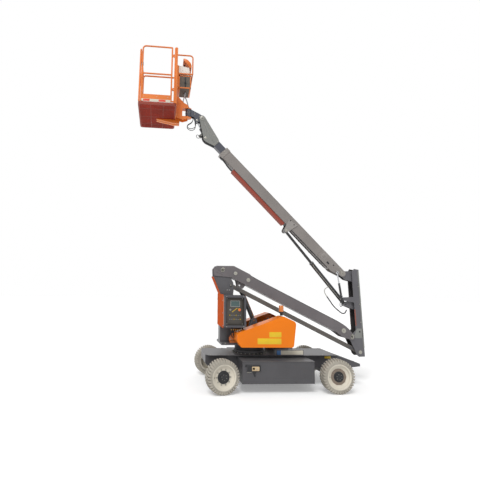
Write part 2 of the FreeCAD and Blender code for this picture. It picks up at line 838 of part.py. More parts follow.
def hood_body(rows, low, high, rounded):
    """The hood's outline as a solid, with some of its corners rounded off."""
    body = plate(rows, low, high)
    doc.recompute()
    pad = body.Tip
    round_off = body.newObject("PartDesign::Fillet", "round_off")
    corners = [(doc_value(x), doc_value(z)) for x, z in rounded]
    round_off.Base = (pad, edges_at(pad.Shape, corners))
    bind(round_off, Radius="hood_round")
    return body


def make_hoods():
    """The two side hoods, hollow shells open to the middle and below, on upright pins at their rear."""
    upper = [
        ("hood_nose_x", "hood_nose_z"),
        ("hood_brow_x", "hood_brow_z"),
        ("hood_ridge_x", "hood_ridge_z"),
        ("hood_tail_x", "hood_tail_z"),
    ]
    rows = [("hood_front_x", "hood_low_z"), *upper, ("hood_rear_x", "hood_low_z")]
    front_slant = "(hood_nose_x - hood_front_x) / (hood_nose_z - hood_low_z)"
    rear_slant = "(hood_rear_x - hood_tail_x) / (hood_tail_z - hood_low_z)"
    core_rows = [
        (f"hood_front_x - hood_past * {front_slant}", "hood_low_z - hood_past"),
        *upper,
        (f"hood_rear_x + hood_past * {rear_slant}", "hood_low_z - hood_past"),
    ]
    for name, side in (("left", 1), ("right", -1)):
        sides = ("hood_in", "hood_out")
        core_sides = ("hood_in - hood_past", "hood_out")
        if side < 0:
            sides = ("-hood_out", "-hood_in")
            core_sides = ("-hood_out", "-hood_in + hood_past")
        outer = hood_body(rows, *sides, [rows[1], rows[5]])
        core = doc.addObject("Part::Offset", "core")
        core.Source = hood_body(core_rows, *core_sides, [upper[0]])
        core.Join = 2
        bind(core, Value="-hood_wall")
        hinge_z = "table_plate_z + 20"
        y_side = (f"{side} * hood_hinge_y - 25", f"{side} * hood_hinge_y + 25")
        leaf = block(("hood_hinge_x - 25", "hood_hinge_x + 25"), y_side, (hinge_z, f"{hinge_z} + 14"))
        hinge = ("hood_hinge_x", f"{side} * hood_hinge_y", "table_plate_z")
        hole = rod("z", hinge, "hood_pin_tall", "hood_pin_radius + pin_gap")
        tie_y = ("hood_hinge_y", "hood_out - hood_wall / 2")
        if side < 0:
            tie_y = ("-hood_out + hood_wall / 2", "-hood_hinge_y")
        tie = block(("hood_hinge_x - 18", "hood_hinge_x + 60"), tie_y, (hinge_z, f"{hinge_z} + 14"))
        pieces = [without(outer, core), without(joined(leaf, tie), hole)]
        if side > 0:
            foot_x = ("hood_ridge_x - 38", "hood_ridge_x + 38")
            foot_y = ("beacon_y - 38", "beacon_y + 38")
            pieces.append(block(foot_x, foot_y, ("hood_ridge_z - 20", "hood_ridge_z + 4")))
        keep(joined(*pieces), f"hood_{name}")


def make_control_box():
    """The ground control box, a cabinet with a recessed panel."""
    rows = [
        ("console_back_x", "console_low_z + console_bevel"),
        ("console_back_x + console_bevel", "console_low_z"),
        ("console_front_x - console_bevel", "console_low_z"),
        ("console_front_x", "console_low_z + console_bevel"),
        ("console_front_x", "console_top_z - console_bevel"),
        ("console_front_x - console_bevel", "console_top_z"),
        ("console_back_x + console_bevel", "console_top_z"),
        ("console_back_x", "console_top_z - console_bevel"),
    ]
    case = plate(rows, "console_in", "console_out")
    recess = block(
        ("console_back_x + console_rim", "console_front_x - console_rim"),
        ("console_out - console_deep", "console_out + 1"),
        ("console_low_z + console_rim", "console_top_z - console_rim"),
    )
    keep(without(case, recess), "control_box")


def make_beacon():
    """The beacon lamp on its foot, on top of the left hood."""
    foot_z = "hood_ridge_z + 4"
    lens_z = f"{foot_z} + beacon_foot"
    foot = rod("z", ("hood_ridge_x", "beacon_y", foot_z), "beacon_foot", "beacon_radius * 0.6")
    collar = rod("z", ("hood_ridge_x", "beacon_y", f"{lens_z} - 22"), "22", "beacon_radius + 3")
    keep(joined(foot, collar), "beacon_base")
    lens = rod("z", ("hood_ridge_x", "beacon_y", lens_z), "beacon_tall - beacon_foot - 24", "beacon_radius")
    crown = doc.addObject("Part::Cone", "crown")
    bind(crown, Radius1="beacon_radius", Radius2="beacon_radius - 20", Height="24")
    moved(crown, "hood_ridge_x", "beacon_y", f"{foot_z} + beacon_tall - 24")
    keep(joined(lens, crown), "beacon_lens")


# Lower boom, link and their cylinder
def make_lower_boom():
    """The lower boom from the column's top to the rear upright, a box between two long side plates."""
    rows = [
        ("98", "-170"),
        ("160", "-60"),
        ("141", "20"),
        ("-160", "lower_high + lower_hump"),
        ("-507", "lower_high + lower_hump"),
        ("-587", "lower_high"),
        ("-lower_long + 260", "lower_high"),
        ("-lower_long + 120", "lower_high - 30"),
        ("-lower_long - 20", "50"),
        ("-lower_long - 20", "-50"),
        ("-lower_long + 150", "lower_low - 30"),
        ("-lower_long + 330", "lower_low"),
        ("-200", "lower_low"),
        ("-30", "-115"),
    ]
    tail = rod("y", ("-lower_long", "fork_half", "0"), "plate_thick", "52")
    side = joined(plate(rows, "fork_half", "fork_out"), tail)
    sides = both_sides(side)
    span = ("-lower_long + 330", "-240")
    cover = block(span, ("-fork_half", "fork_half"), ("lower_high - lower_wall", "lower_high"))
    floor = block(span, ("-fork_half", "fork_half"), ("lower_low", "lower_low + lower_wall"))
    slot_tall = ("lower_low - 1", "lower_low + lower_wall + 1")
    slot = block(("lug_s - 110", "-245"), ("-lug_in", "lug_in"), slot_tall)
    lug_rows = [
        ("lug_s - 100", "lower_low + 1"),
        ("lug_s - 85", "lug_n - 30"),
        ("lug_s + 30", "lug_n - 42"),
        ("lug_s + 105", "lower_low + 1"),
    ]
    lug = plate(lug_rows, "lug_in", "lug_in + lug_thick")
    lugs = without(both_sides(lug), cross_pin("lug_s", "lug_n", "fork_half", "cyl_pin + pin_gap"))
    pins = [
        cross_pin("0", "0", "fork_out + 6", "shoulder_pin"),
        cross_pin("-lower_long", "0", "fork_out + 6", "shoulder_pin"),
    ]
    bosses = []
    for x, z, radius in (("-250", "58", "46"), ("-526", "58", "50"), ("-lower_long + 199", "37", "58")):
        bosses.append(rod("y", (x, "fork_half", z), "plate_thick + 5", radius))
    box = joined(cover, without(floor, slot))
    boom = joined(sides, box, lugs, *pins, both_sides(joined(*bosses)))
    keep(boom, "lower_boom", "shoulder_x", "0", "shoulder_z", "lower_angle")


def make_lower_link():
    """The pair of bars under the lower boom that keeps the rear upright plumb."""
    half = "link_deep / 2"
    bar = block(("-lower_long", "0"), ("link_in", "link_in + link_thick"), (f"-{half}", half))
    ends = [rod("y", (x, "link_in", "0"), "link_thick", "link_deep / 2 + 6") for x in ("0", "-lower_long")]
    tubes = [cross_pin(x, "0", "link_in + 1", "link_pin + 10") for x in ("0", "-lower_long")]
    pins = [cross_pin(x, "0", "plate_half", "link_pin") for x in ("0", "-lower_long")]
    bars = both_sides(joined(bar, *ends))
    keep(joined(bars, *tubes, *pins), "lower_link", "foot_x", "0", "foot_z", "lower_angle")


def make_lift_cylinder():
    """The cylinder that raises the lower boom."""
    tube = barrel(
        "lift_radius", "lift_barrel", "lift_rod", "90", "lift_radius - 3", "eye_half", "cyl_pin",
        "lug_in + lug_thick",
    )
    keep(tube, "lift_cylinder", "lift_base_x", "0", "lift_base_z", "lift_angle")
    shaft = piston_rod("lift_rod", "102", "lift_long", "eye_radius", "eye_half", "cyl_pin")
    keep(shaft, "lift_rod", "lift_base_x", "0", "lift_base_z", "lift_angle")


# Rear upright
def make_upright():
    """The rear upright, a channel open to the front, with the ears of both booms and cylinders."""
    side_rows = [
        ("-249", "-360"),
        ("-203", "mast_top_z + 80"),
        ("-110", "mast_top_z + 95"),
        ("-62", "mast_top_z + 30"),
        ("-92", "130"),
        ("-10", "45"),
        ("48", "10"),
        ("40", "-40"),
        ("-90", "-330"),
        ("-130", "-365"),
    ]
    web_rows = [
        ("-249", "-360"),
        ("-203", "mast_top_z + 80"),
        ("-190", "mast_top_z + 80"),
        ("-236", "-360"),
    ]
    round_foot = rod("y", ("0", "inner_half", "0"), "plate_thick", "50")
    side = joined(plate(side_rows, "inner_half", "plate_half"), round_foot)
    web = plate(web_rows, "-inner_half", "inner_half")
    ear_rows = [
        ("-200", "mast_top_z - 190"),
        ("-200", "mast_top_z + 60"),
        ("mast_top_x - 30", "mast_top_z + 45"),
        ("mast_top_x + 40", "mast_top_z - 40"),
        ("mast_top_x - 60", "mast_top_z - 120"),
    ]
    ear_out = "mast_ear_in + mast_ear_thick"
    ear = joined(
        plate(ear_rows, "mast_ear_in", ear_out),
        rod("y", ("mast_top_x", "mast_ear_in", "mast_top_z"), "mast_ear_thick", "mast_ear_radius"),
    )
    stiffener = block(("-215", "-120"), (ear_out, "inner_half + 1"), ("mast_top_z - 60", "mast_top_z - 44"))
    clevis_rows = [
        ("-224", "luff_base_z - 150"),
        ("-216", "luff_base_z + 90"),
        ("luff_base_x - 10", "luff_base_z + 42"),
        ("luff_base_x + 30", "luff_base_z - 30"),
    ]
    clevis_out = "luff_ear_in + luff_ear_thick"
    clevis = joined(
        plate(clevis_rows, "luff_ear_in", clevis_out),
        rod("y", ("luff_base_x", "luff_ear_in", "luff_base_z"), "luff_ear_thick", "42"),
    )
    level_arm = plate(
        [
            ("-80", "level_base_z - 70"),
            ("-75", "level_base_z + 40"),
            ("level_base_x", "level_base_z + 24"),
            ("level_base_x", "level_base_z - 24"),
        ],
        "inner_half",
        "plate_half",
    )
    level_end = rod("y", ("level_base_x", "inner_half", "level_base_z"), "plate_thick", "level_eye")
    level_place = ("level_base_x", "inner_half - 1", "level_base_z")
    holes = [
        cross_pin("0", "0", "plate_half + 1", "shoulder_pin + pin_gap"),
        cross_pin("-link_back", "-link_drop", "plate_half + 1", "link_pin + pin_gap"),
        cross_pin("mast_top_x", "mast_top_z", "inner_half", "mast_pin + pin_gap"),
        cross_pin("luff_base_x", "luff_base_z", "inner_half", "cyl_pin + pin_gap"),
        rod("y", level_place, "plate_thick + 2", "level_pin + pin_gap"),
    ]
    frame = joined(both_sides(joined(side, ear, stiffener, clevis)), web, level_arm, level_end)
    keep(without(frame, *holes), "rear_upright", "wrist_x", "0", "wrist_z")


def make_luff_cylinder():
    """The cylinder that luffs the upper boom."""
    place = ("wrist_x + luff_base_x", "0", "wrist_z + luff_base_z", "luff_angle")
    tube = barrel(
        "luff_radius", "luff_barrel", "luff_rod", "luff_bore_from", "luff_radius", "eye_half", "cyl_pin",
        "luff_ear_in + luff_ear_thick",
    )
    keep(tube, "luff_cylinder", *place)
    shaft = piston_rod("luff_rod", "luff_rod_from", "luff_long", "luff_eye", "eye_half", "cyl_pin")
    keep(shaft, "luff_rod", *place)


def make_level_cylinder():
    """The levelling master cylinder beside the upper boom's heel."""
    place = ("wrist_x + level_base_x", "level_y", "wrist_z + level_base_z", "level_angle")
    tube = rod("x", ("0", "0", "0"), "level_barrel", "level_radius")
    foot = cross_pin("0", "0", "22", "level_eye")
    pin = rod("y", ("0", "inner_half - level_y", "0"), "level_y - inner_half", "level_pin")
    hollow = rod("x", ("60", "0", "0"), "level_barrel", "level_rod + pin_gap")
    keep(joined(without(joined(tube, foot), hollow), pin), "level_cylinder", *place)
    shaft = piston_rod("level_rod", "180", "level_long", "level_eye - 4", "20", "level_pin")
    keep(shaft, "level_rod", *place)


# Upper boom
def make_upper_boom():
    """The upper boom's outer tube with its heel plates, the cylinder's bracket and the collar."""
    long = ("boom_from", "boom_to")
    tube = without(
        block(long, ("-boom_half", "boom_half"), ("boom_low", "boom_high")),
        block(
            ("boom_from - 1", "boom_to + 1"),
            ("-boom_half + boom_wall", "boom_half - boom_wall"),
            ("boom_low + boom_wall", "boom_high - boom_wall"),
        ),
    )
    collar = without(
        block(
            ("boom_to", "boom_to + collar_long"),
            ("-boom_half - collar_proud", "boom_half + collar_proud"),
            ("boom_low - collar_proud", "boom_high + collar_proud"),
        ),
        block(
            ("boom_to - 1", "boom_to + collar_long + 1"),
            ("-fly_half - pin_gap", "fly_half + pin_gap"),
            ("fly_low - pin_gap", "fly_high + pin_gap"),
        ),
    )
    heel_out = "boom_half + plate_thick"
    heel_rows = [
        ("-50", "30"),
        ("-10", "boom_high - 2"),
        ("560", "boom_high - 2"),
        ("600", "20"),
        ("600", "-100"),
        ("560", "boom_low + 2"),
        ("200", "boom_low + 2"),
        ("-30", "-52"),
    ]
    heel = joined(
        plate(heel_rows, "boom_half", heel_out),
        rod("y", ("0", "boom_half", "0"), "plate_thick", "62"),
        rod("y", ("496", "boom_half", "-32"), "plate_thick + 6", "32"),
    )
    slots = [
        block(("322", "382"), ("boom_half + 2", f"{heel_out} + 1"), ("-88", "-54")),
        rod("y", ("240", "boom_half + 2", "-20"), "plate_thick", "14"),
    ]
    bracket_rows = [
        ("luff_pin_s - 92", "10"),
        ("luff_pin_s + 118", "-30"),
        ("luff_pin_s + 45", "luff_pin_n - 5"),
        ("luff_pin_s - 45", "luff_pin_n - 5"),
    ]
    bracket = joined(
        plate(bracket_rows, "boom_half", heel_out),
        rod("y", ("luff_pin_s", "boom_half", "luff_pin_n"), "plate_thick", "45"),
    )
    hole = cross_pin("luff_pin_s", "luff_pin_n", f"{heel_out} + 1", "cyl_pin")
    pivot = cross_pin("0", "0", f"{heel_out} + 6", "mast_pin")
    level_boss = rod("y", ("level_pin_s", "boom_half", "level_pin_n"), "plate_thick + 12", "20")
    sides = both_sides(joined(without(heel, *slots), bracket))
    keep(
        joined(tube, collar, without(sides, hole), pivot, level_boss),
        "upper_boom", "elbow_x", "0", "elbow_z", "luff_rest",
    )


def make_cable_carrier():
    """The tray and folded cable chain under the upper boom."""
    low = "boom_low - tray_deep"
    across = ("-tray_half", "tray_half")
    middle = "(tray_from + tray_to) / 2"
    trough = (f"{low} + 4", "boom_low + 1")
    tray = without(
        block(("tray_from", "tray_to"), across, (low, "boom_low")),
        block(("tray_from - 6", "tray_to + 6"), ("-tray_half + 4", "tray_half - 4"), trough),
    )
    hangers = []
    for x in ("tray_from", f"{middle} - 6", "tray_to - 12"):
        hangers.append(block((x, f"{x} + 12"), across, (low, "boom_low")))
    keep(joined(tray, *hangers), "cable_tray", "elbow_x", "0", "elbow_z", "luff_rest")
    chains = []
    chain_tall = (f"{low} + 4", "boom_low - 12")
    for start, end in (("tray_from + 12", f"{middle} - 6"), (f"{middle} + 6", "tray_to - 12")):
        chains.append(block((start, end), ("-tray_half + 18", "tray_half - 18"), chain_tall))
    keep(joined(*chains), "cable_chain", "elbow_x", "0", "elbow_z", "luff_rest")


def make_fly_boom():
    """The telescoping fly tube and the nose plates that carry the platform's yoke."""
    tube = without(
        block(("fly_from", "fly_to"), ("-fly_half", "fly_half"), ("fly_low", "fly_high")),
        block(
            ("fly_from - 1", "fly_to + 1"),
            ("-fly_half + fly_wall", "fly_half - fly_wall"),
            ("fly_low + fly_wall", "fly_high - fly_wall"),
        ),
    )
    nose_rows = [
        ("fly_to - 55", "fly_low + 4"),
        ("fly_to - 55", "fly_high - 4"),
        ("fly_to", "fly_high + 22"),
        ("tip_s - 20", "tip_n + 60"),
        ("tip_s + 58", "tip_n + 12"),
        ("tip_s + 45", "tip_n - 42"),
        ("slave_s + 60", "slave_n - 10"),
        ("slave_s + 8", "slave_n - 52"),
        ("slave_s - 55", "slave_n - 52"),
    ]
    out = "fly_half + nose_thick"
    side = joined(
        plate(nose_rows, "fly_half", out),
        rod("y", ("tip_s", "fly_half", "tip_n"), "nose_thick", "tip_radius"),
    )
    bridge = block(("fly_to - 6", "fly_to + 4"), ("-fly_half - 1", "fly_half + 1"), ("fly_low", "fly_high"))
    holes = [
        cross_pin("tip_s", "tip_n", f"{out} + 1", "tip_pin + pin_gap"),
        cross_pin("slave_s", "slave_n", f"{out} + 1", "slave_pin + pin_gap"),
    ]
    boom = joined(tube, bridge, without(both_sides(side), *holes))
    keep(boom, "fly_boom", "elbow_x", "0", "elbow_z", "luff_rest")


def make_slave_cylinder():
    """The levelling slave cylinder between the nose plates."""
    place = ("slave_x", "0", "slave_z", "slave_angle")
    out = "fly_half + nose_thick"
    tube = barrel("slave_radius", "slave_barrel", "slave_rod", "50", "slave_eye", "30", "slave_pin", out)
    keep(tube, "slave_cylinder", *place)
    shaft = piston_rod("slave_rod", "110", "slave_long", "slave_eye", "28", "slave_pin")
    keep(shaft, "slave_rod", *place)


# Platform
def make_yoke():
    """The yoke that stays level at the boom's nose, with the rotator housing."""
    rows = [
        ("-35", "40"),
        ("60", "100"),
        ("rotator_x - 50", "rotator_low + rotator_tall - 8"),
        ("rotator_x - 50", "rotator_low + 15"),
        ("165", "20"),
        ("yoke_pin_x + 32", "yoke_pin_z - 30"),
        ("yoke_pin_x - 15", "yoke_pin_z - 38"),
        ("-30", "-45"),
    ]
    out = "yoke_in + yoke_thick"
    side = joined(plate(rows, "yoke_in", out), rod("y", ("0", "yoke_in", "0"), "yoke_thick", "52"))
    holes = cross_pin("yoke_pin_x", "yoke_pin_z", f"{out} + 1", "slave_pin")
    pin = cross_pin("0", "0", "fly_half + nose_thick + 6", "tip_pin")
    housing = without(
        rod("z", ("rotator_x", "0", "rotator_low"), "rotator_tall", "rotator_radius"),
        rod("z", ("rotator_x", "0", "rotator_low - 1"), "rotator_tall + 2", "rotator_shaft + pin_gap"),
    )
    gusset = block(("150", "rotator_x - 40"), ("-yoke_in - 1", "yoke_in + 1"), ("90", "102"))
    arms = without(both_sides(side), rod("z", ("rotator_x", "0", "0"), "400", "rotator_radius - 5"))
    keep(joined(without(arms, holes), pin, housing, gusset), "level_yoke", "tip_x", "0", "tip_z")


def make_platform_bracket():
    """The orange bracket that turns on the rotator and carries the platform."""
    top_z = "rotator_low + rotator_tall + run_gap"
    low_z = "rotator_low - run_gap"
    post_x = "basket_back - 50"
    rows = [
        ("rotator_x + 10", low_z),
        ("rotator_x + 10", f"{low_z} - 40"),
        ("rotator_x + 120", f"{low_z} - 75"),
        ("basket_back", f"{low_z} - 30"),
        ("basket_back", "430"),
        (post_x, "430"),
        ("rotator_x + 100", f"{top_z} + 110"),
        ("rotator_x + 10", f"{top_z} + 60"),
        ("rotator_x + 10", top_z),
        ("rotator_x + 130", top_z),
        ("rotator_x + 130", low_z),
    ]
    sides = plates(rows, "bracket_in", "bracket_in + bracket_thick")
    shelf_x = ("rotator_x", "rotator_x + 140")
    shelf_y = ("-bracket_in - 1", "bracket_in + 1")
    shelves = [
        block(shelf_x, shelf_y, (top_z, f"{top_z} + 15")),
        block(shelf_x, shelf_y, (f"{low_z} - 15", low_z)),
        rod("z", ("rotator_x", "0", top_z), "15", "rotator_radius"),
        rod("z", ("rotator_x", "0", f"{low_z} - 15"), "15", "rotator_radius"),
    ]
    shaft = rod("z", ("rotator_x", "0", low_z), f"{top_z} - ({low_z})", "rotator_shaft")
    web = block(("rotator_x + 130", "rotator_x + 142"), shelf_y, (low_z, top_z))
    back = block(("basket_back - 12", "basket_back"), ("-230", "230"), (f"{low_z} - 30", "430"))
    keep(joined(sides, shaft, web, back, *shelves), "platform_bracket", "tip_x", "0", "tip_z")


def make_floor():
    """The platform floor, a tray with rows of drain holes."""
    base = block(
        ("basket_back", "basket_back + basket_long"),
        ("-basket_half", "basket_half"),
        ("floor_z", "deck_top"),
    )
    hollow = block(
        ("basket_back + 30", "basket_back + basket_long - 30"),
        ("-basket_half + 30", "basket_half - 30"),
        ("floor_z - 1", "deck_top - 6"),
    )
    ribs = []
    for y in (-380, -190, 0, 190, 380):
        long = ("basket_back + 20", "basket_back + basket_long - 20")
        ribs.append(block(long, (f"{y} - 4", f"{y} + 4"), ("floor_z", "deck_top - 3")))
    keep(joined(without(base, hollow), *ribs), "platform_floor", "tip_x", "0", "tip_z")


def upright_tube(x, y, low, high, radius="rail_radius"):
    """A tube standing on the platform."""
    return rod("z", (x, y, low), f"({high}) - ({low})", radius)


def hoop_pieces():
    """The two guard hoops of the control console, their cross bars and the shelf plate."""
    back = "basket_back - hoop_back"
    low = "rail_top - hoop_low"
    reach = "hoop_back + rail_radius"
    pieces = []
    for y in ("-300", "330"):
        corner = (f"{back} + rail_bend", y, "rail_top - rail_bend")
        pieces.append(rod("x", (f"{back} + rail_bend", y, "rail_top"), f"{reach} - rail_bend", "hoop_radius"))
        pieces.append(bend(corner, "rail_bend", "hoop_radius", Vector(-1, 0, 0), Vector(0, 0, 1)))
        pieces.append(upright_tube(back, y, low, "rail_top - rail_bend", "hoop_radius"))
        pieces.append(rod("x", (back, y, low), reach, "hoop_radius"))
        pieces.append(upright_tube("rail_x_low", y, low, "rail_top", "hoop_radius"))
    for z in (low, "rail_top - 345"):
        pieces.append(rod("y", (back, "-300", z), "630", "hoop_radius - 3"))
    shelf_rows = ("rail_top - 640", "rail_top - 150")
    pieces.append(block(("basket_back - 40", "basket_back + 6"), ("-190", "210"), shelf_rows))
    return pieces


def make_rails():
    """The guard rails of the platform with their toe boards; the left side is the gate's opening."""
    pieces = []
    bend_low = "rail_top - rail_bend"
    for x in ("rail_x_low", "rail_x_high"):
        pieces.append(upright_tube(x, "0", "deck_top", "rail_top" if x == "rail_x_low" else bend_low))
        pieces.append(rod("y", (x, "-rail_y", "rail_middle"), "2 * rail_y", "rail_radius"))
    for y in ("rail_y", "-rail_y"):
        pieces.append(upright_tube("rail_x_low", y, "deck_top", "rail_top"))
    pieces.append(rod("y", ("rail_x_low", "-rail_y", "rail_top"), "2 * rail_y", "rail_radius"))
    # the front end: the far post bends into the far rail, the near post into the front rail
    pieces.append(upright_tube("rail_x_high", "-rail_y", "deck_top", bend_low))
    far = ("rail_x_high - rail_bend", "-rail_y", bend_low)
    pieces.append(bend(far, "rail_bend", "rail_radius", Vector(1, 0, 0), Vector(0, 0, 1)))
    pieces.append(upright_tube("rail_x_high", "rail_y", "deck_top", f"{bend_low} - rail_bend"))
    near = ("rail_x_high", "rail_y - rail_bend", f"{bend_low} - rail_bend")
    pieces.append(bend(near, "rail_bend", "rail_radius", Vector(0, 1, 0), Vector(0, 0, 1)))
    pieces.append(rod("y", ("rail_x_high", "-rail_y", bend_low), "2 * rail_y - rail_bend", "rail_radius"))
    span = "rail_x_high - rail_x_low"
    pieces.append(rod("x", ("rail_x_low", "-rail_y", "rail_top"), f"{span} - rail_bend", "rail_radius"))
    pieces.append(rod("x", ("rail_x_low", "-rail_y", "rail_middle"), span, "rail_radius"))
    doubled = "basket_back + gate_post_x"
    pieces.append(upright_tube(doubled, "rail_y", "deck_top", "rail_top"))
    for z in ("rail_top", "rail_middle"):
        pieces.append(rod("x", ("rail_x_low", "rail_y", z), f"{doubled} - (rail_x_low)", "rail_radius"))
    toe = ("deck_top", "deck_top + toe_tall")
    toe_side = "-basket_half + toe_in"
    for x in ("basket_back + toe_in", "basket_back + basket_long - toe_in - toe_thick"):
        pieces.append(block((x, f"{x} + toe_thick"), (toe_side, "basket_half - toe_in"), toe))
    toe_span = ("basket_back + toe_in", "basket_back + basket_long - toe_in")
    pieces.append(block(toe_span, (toe_side, f"{toe_side} + toe_thick"), toe))
    axis_x = "basket_back + gate_axis_x"
    ear = (doubled, f"{axis_x} + 10")
    for z in ("deck_top + 260", "deck_top + 960"):
        for low in (f"{z} - 8 - pin_gap", f"{z} + gate_sleeve_tall + pin_gap"):
            pieces.append(block(ear, ("rail_y - 10", "rail_y + 10"), (low, f"{low} + 8")))
        pieces.append(rod("z", (axis_x, "rail_y", f"{z} - 8"), "gate_sleeve_tall + 16", "gate_pin"))
    pieces += hoop_pieces()
    keep(joined(*pieces), "platform_rails", "tip_x", "0", "tip_z")


def make_gate():
    """The gate in the platform's left side."""
    near = "basket_back + gate_tube_x"
    radius = "gate_tube_radius"
    bend_low = "rail_top - rail_bend"
    tubes = [
        upright_tube(near, "rail_y", "gate_low", "rail_top", radius),
        upright_tube("gate_end", "rail_y", "gate_low", bend_low, radius),
    ]
    corner = ("gate_end - rail_bend", "rail_y", bend_low)
    tubes.append(bend(corner, "rail_bend", radius, Vector(1, 0, 0), Vector(0, 0, 1)))
    span = f"gate_end - ({near})"
    tubes.append(rod("x", (near, "rail_y", "rail_top"), f"{span} - rail_bend", radius))
    for z in ("rail_middle", "gate_low + gate_tube_radius"):
        tubes.append(rod("x", (near, "rail_y", z), span, radius))
    toe = block((near, "gate_end"), ("rail_y", "rail_y + toe_thick"), ("gate_low", "deck_top + toe_tall"))
    axis_x = "basket_back + gate_axis_x"
    sleeves = []
    for z in ("deck_top + 260", "deck_top + 960"):
        sleeve = rod("z", (axis_x, "rail_y", z), "gate_sleeve_tall", "gate_sleeve")
        leaf = block((axis_x, near), ("rail_y - 6", "rail_y + 6"), (z, f"{z} + gate_sleeve_tall"))
        hole = rod("z", (axis_x, "rail_y", f"{z} - 1"), "gate_sleeve_tall + 2", "gate_pin + pin_gap")
        sleeves.append(without(joined(sleeve, leaf), hole))
    keep(joined(*tubes, toe, *sleeves), "platform_gate", "tip_x", "0", "tip_z")


def make_console():
    """The platform's control console and the tool tray under it, behind the rear rail."""
    back = "basket_back"
    rows = [
        (f"{back} - 40", "rail_top - 330"),
        (f"{back} - 40", "rail_top - 150"),
        (f"{back} - 250", "rail_top - 190"),
        (f"{back} - 265", "rail_top - 300"),
        (f"{back} - 200", "rail_top - 330"),
    ]
    keep(plate(rows, "-190", "210"), "platform_console", "tip_x", "0", "tip_z")
    tray = without(
        block((f"{back} - 290", f"{back} - 40"), ("-180", "200"), ("rail_top - 640", "rail_top - 365")),
        block((f"{back} - 282", f"{back} - 48"), ("-172", "192"), ("rail_top - 632", "rail_top - 364")),
    )
    keep(tray, "tool_tray", "tip_x", "0", "tip_z")


for make in (
    make_wheels, make_front_axle, make_rear_axle, make_knuckles, make_tie_rod, make_steering_cylinder,
    make_chassis, make_turntable, make_front_cover, make_counterweight, make_hoods, make_control_box,
    make_beacon, make_lower_boom, make_lower_link, make_lift_cylinder, make_upright, make_luff_cylinder,
    make_level_cylinder, make_upper_boom, make_cable_carrier, make_fly_boom, make_slave_cylinder,
    make_yoke, make_platform_bracket, make_floor, make_rails, make_gate, make_console,
):
    make()

doc.recompute()
for item in doc.Objects:
    if "Invalid" in item.State or "Error" in item.State:
        raise RuntimeError(f"{item.Label} did not build: {item.State}")
os.makedirs("parts", exist_ok=True)
for item in nodes:
    if item.Shape.isNull() or not item.Shape.isValid():
        raise RuntimeError(f"{item.Label} has no valid shape")
    item.Shape.exportStep(f"parts/{item.Label}.step")
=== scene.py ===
"""Finishes and fine detail of an articulating boom lift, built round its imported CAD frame.

Metres; X points to the platform, Y to the machine's left, Z up, the origin on the ground under the slewing ring.
"""

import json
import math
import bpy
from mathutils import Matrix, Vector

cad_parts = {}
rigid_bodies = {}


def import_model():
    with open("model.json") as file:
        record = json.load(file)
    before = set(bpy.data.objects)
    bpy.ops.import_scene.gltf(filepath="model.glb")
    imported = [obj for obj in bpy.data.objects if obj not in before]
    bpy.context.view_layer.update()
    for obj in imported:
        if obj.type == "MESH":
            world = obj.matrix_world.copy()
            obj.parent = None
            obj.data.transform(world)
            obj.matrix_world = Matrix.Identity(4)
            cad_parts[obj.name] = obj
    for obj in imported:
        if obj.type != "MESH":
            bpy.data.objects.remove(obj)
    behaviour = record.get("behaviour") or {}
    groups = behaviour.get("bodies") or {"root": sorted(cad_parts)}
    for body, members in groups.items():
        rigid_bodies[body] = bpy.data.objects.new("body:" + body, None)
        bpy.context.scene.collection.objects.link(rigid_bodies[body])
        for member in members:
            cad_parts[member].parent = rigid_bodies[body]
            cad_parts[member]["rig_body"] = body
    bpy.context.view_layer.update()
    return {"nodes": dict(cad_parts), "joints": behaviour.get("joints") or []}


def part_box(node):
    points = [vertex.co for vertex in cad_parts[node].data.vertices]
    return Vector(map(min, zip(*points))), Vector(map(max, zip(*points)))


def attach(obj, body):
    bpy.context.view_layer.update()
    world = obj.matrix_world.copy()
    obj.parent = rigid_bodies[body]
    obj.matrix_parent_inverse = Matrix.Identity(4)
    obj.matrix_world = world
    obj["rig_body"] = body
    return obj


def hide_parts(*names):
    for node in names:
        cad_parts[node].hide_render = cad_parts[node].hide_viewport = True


bl_info = {
    "name": "Articulating boom lift finishes",
    "version": (1, 0, 0),
    "blender": (4, 5, 0),
    "location": "3D View > Sidebar > Boom lift",
    "description": "Paint, wheels, controls, labels, fittings and lighting of an articulating boom lift",
    "category": "Object",
}

import bmesh
import bpy
from bpy.props import FloatProperty, FloatVectorProperty, IntProperty, PointerProperty
from mathutils import Matrix, Vector

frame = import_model()
JOINTS = {joint["name"]: joint for joint in frame["joints"]}
MM = 0.001

X_AXIS = Vector((1, 0, 0))
Y_AXIS = Vector((0, 1, 0))
Z_AXIS = Vector((0, 0, 1))


def joint_place(name):
    """Where a hinge of the record lies."""
    return Vector(JOINTS[name]["pos_m"])


def slanted(place, degrees):
    """A piece's own frame in the side view: X along it and Z square to it, as the CAD source has it."""
    return Matrix.Translation(place) @ Matrix.Rotation(-math.radians(degrees), 4, "Y")


def slide_slant(name):
    """The slope of a slide in the side view, in degrees."""
    axis = JOINTS[name]["axis"]
    return math.degrees(math.atan2(axis[2], axis[0]))


SHOULDER = joint_place("lower_boom_raise")
ELBOW = joint_place("upper_boom_luff")
LOWER_SLANT = 25.83
UPPER_SLANT = 45.6
LOWER = slanted(SHOULDER, LOWER_SLANT)
UPPER = slanted(ELBOW, UPPER_SLANT)
LINK = slanted(joint_place("lower_link_swing"), LOWER_SLANT)
LIFT = slanted(joint_place("lift_cylinder_tilt"), slide_slant("lift_rod_stroke"))
LUFF = slanted(joint_place("luff_cylinder_tilt"), slide_slant("luff_rod_stroke"))
UPRIGHT = Matrix.Translation(joint_place("upright_stay"))
NOSE = Matrix.Translation(joint_place("platform_level"))


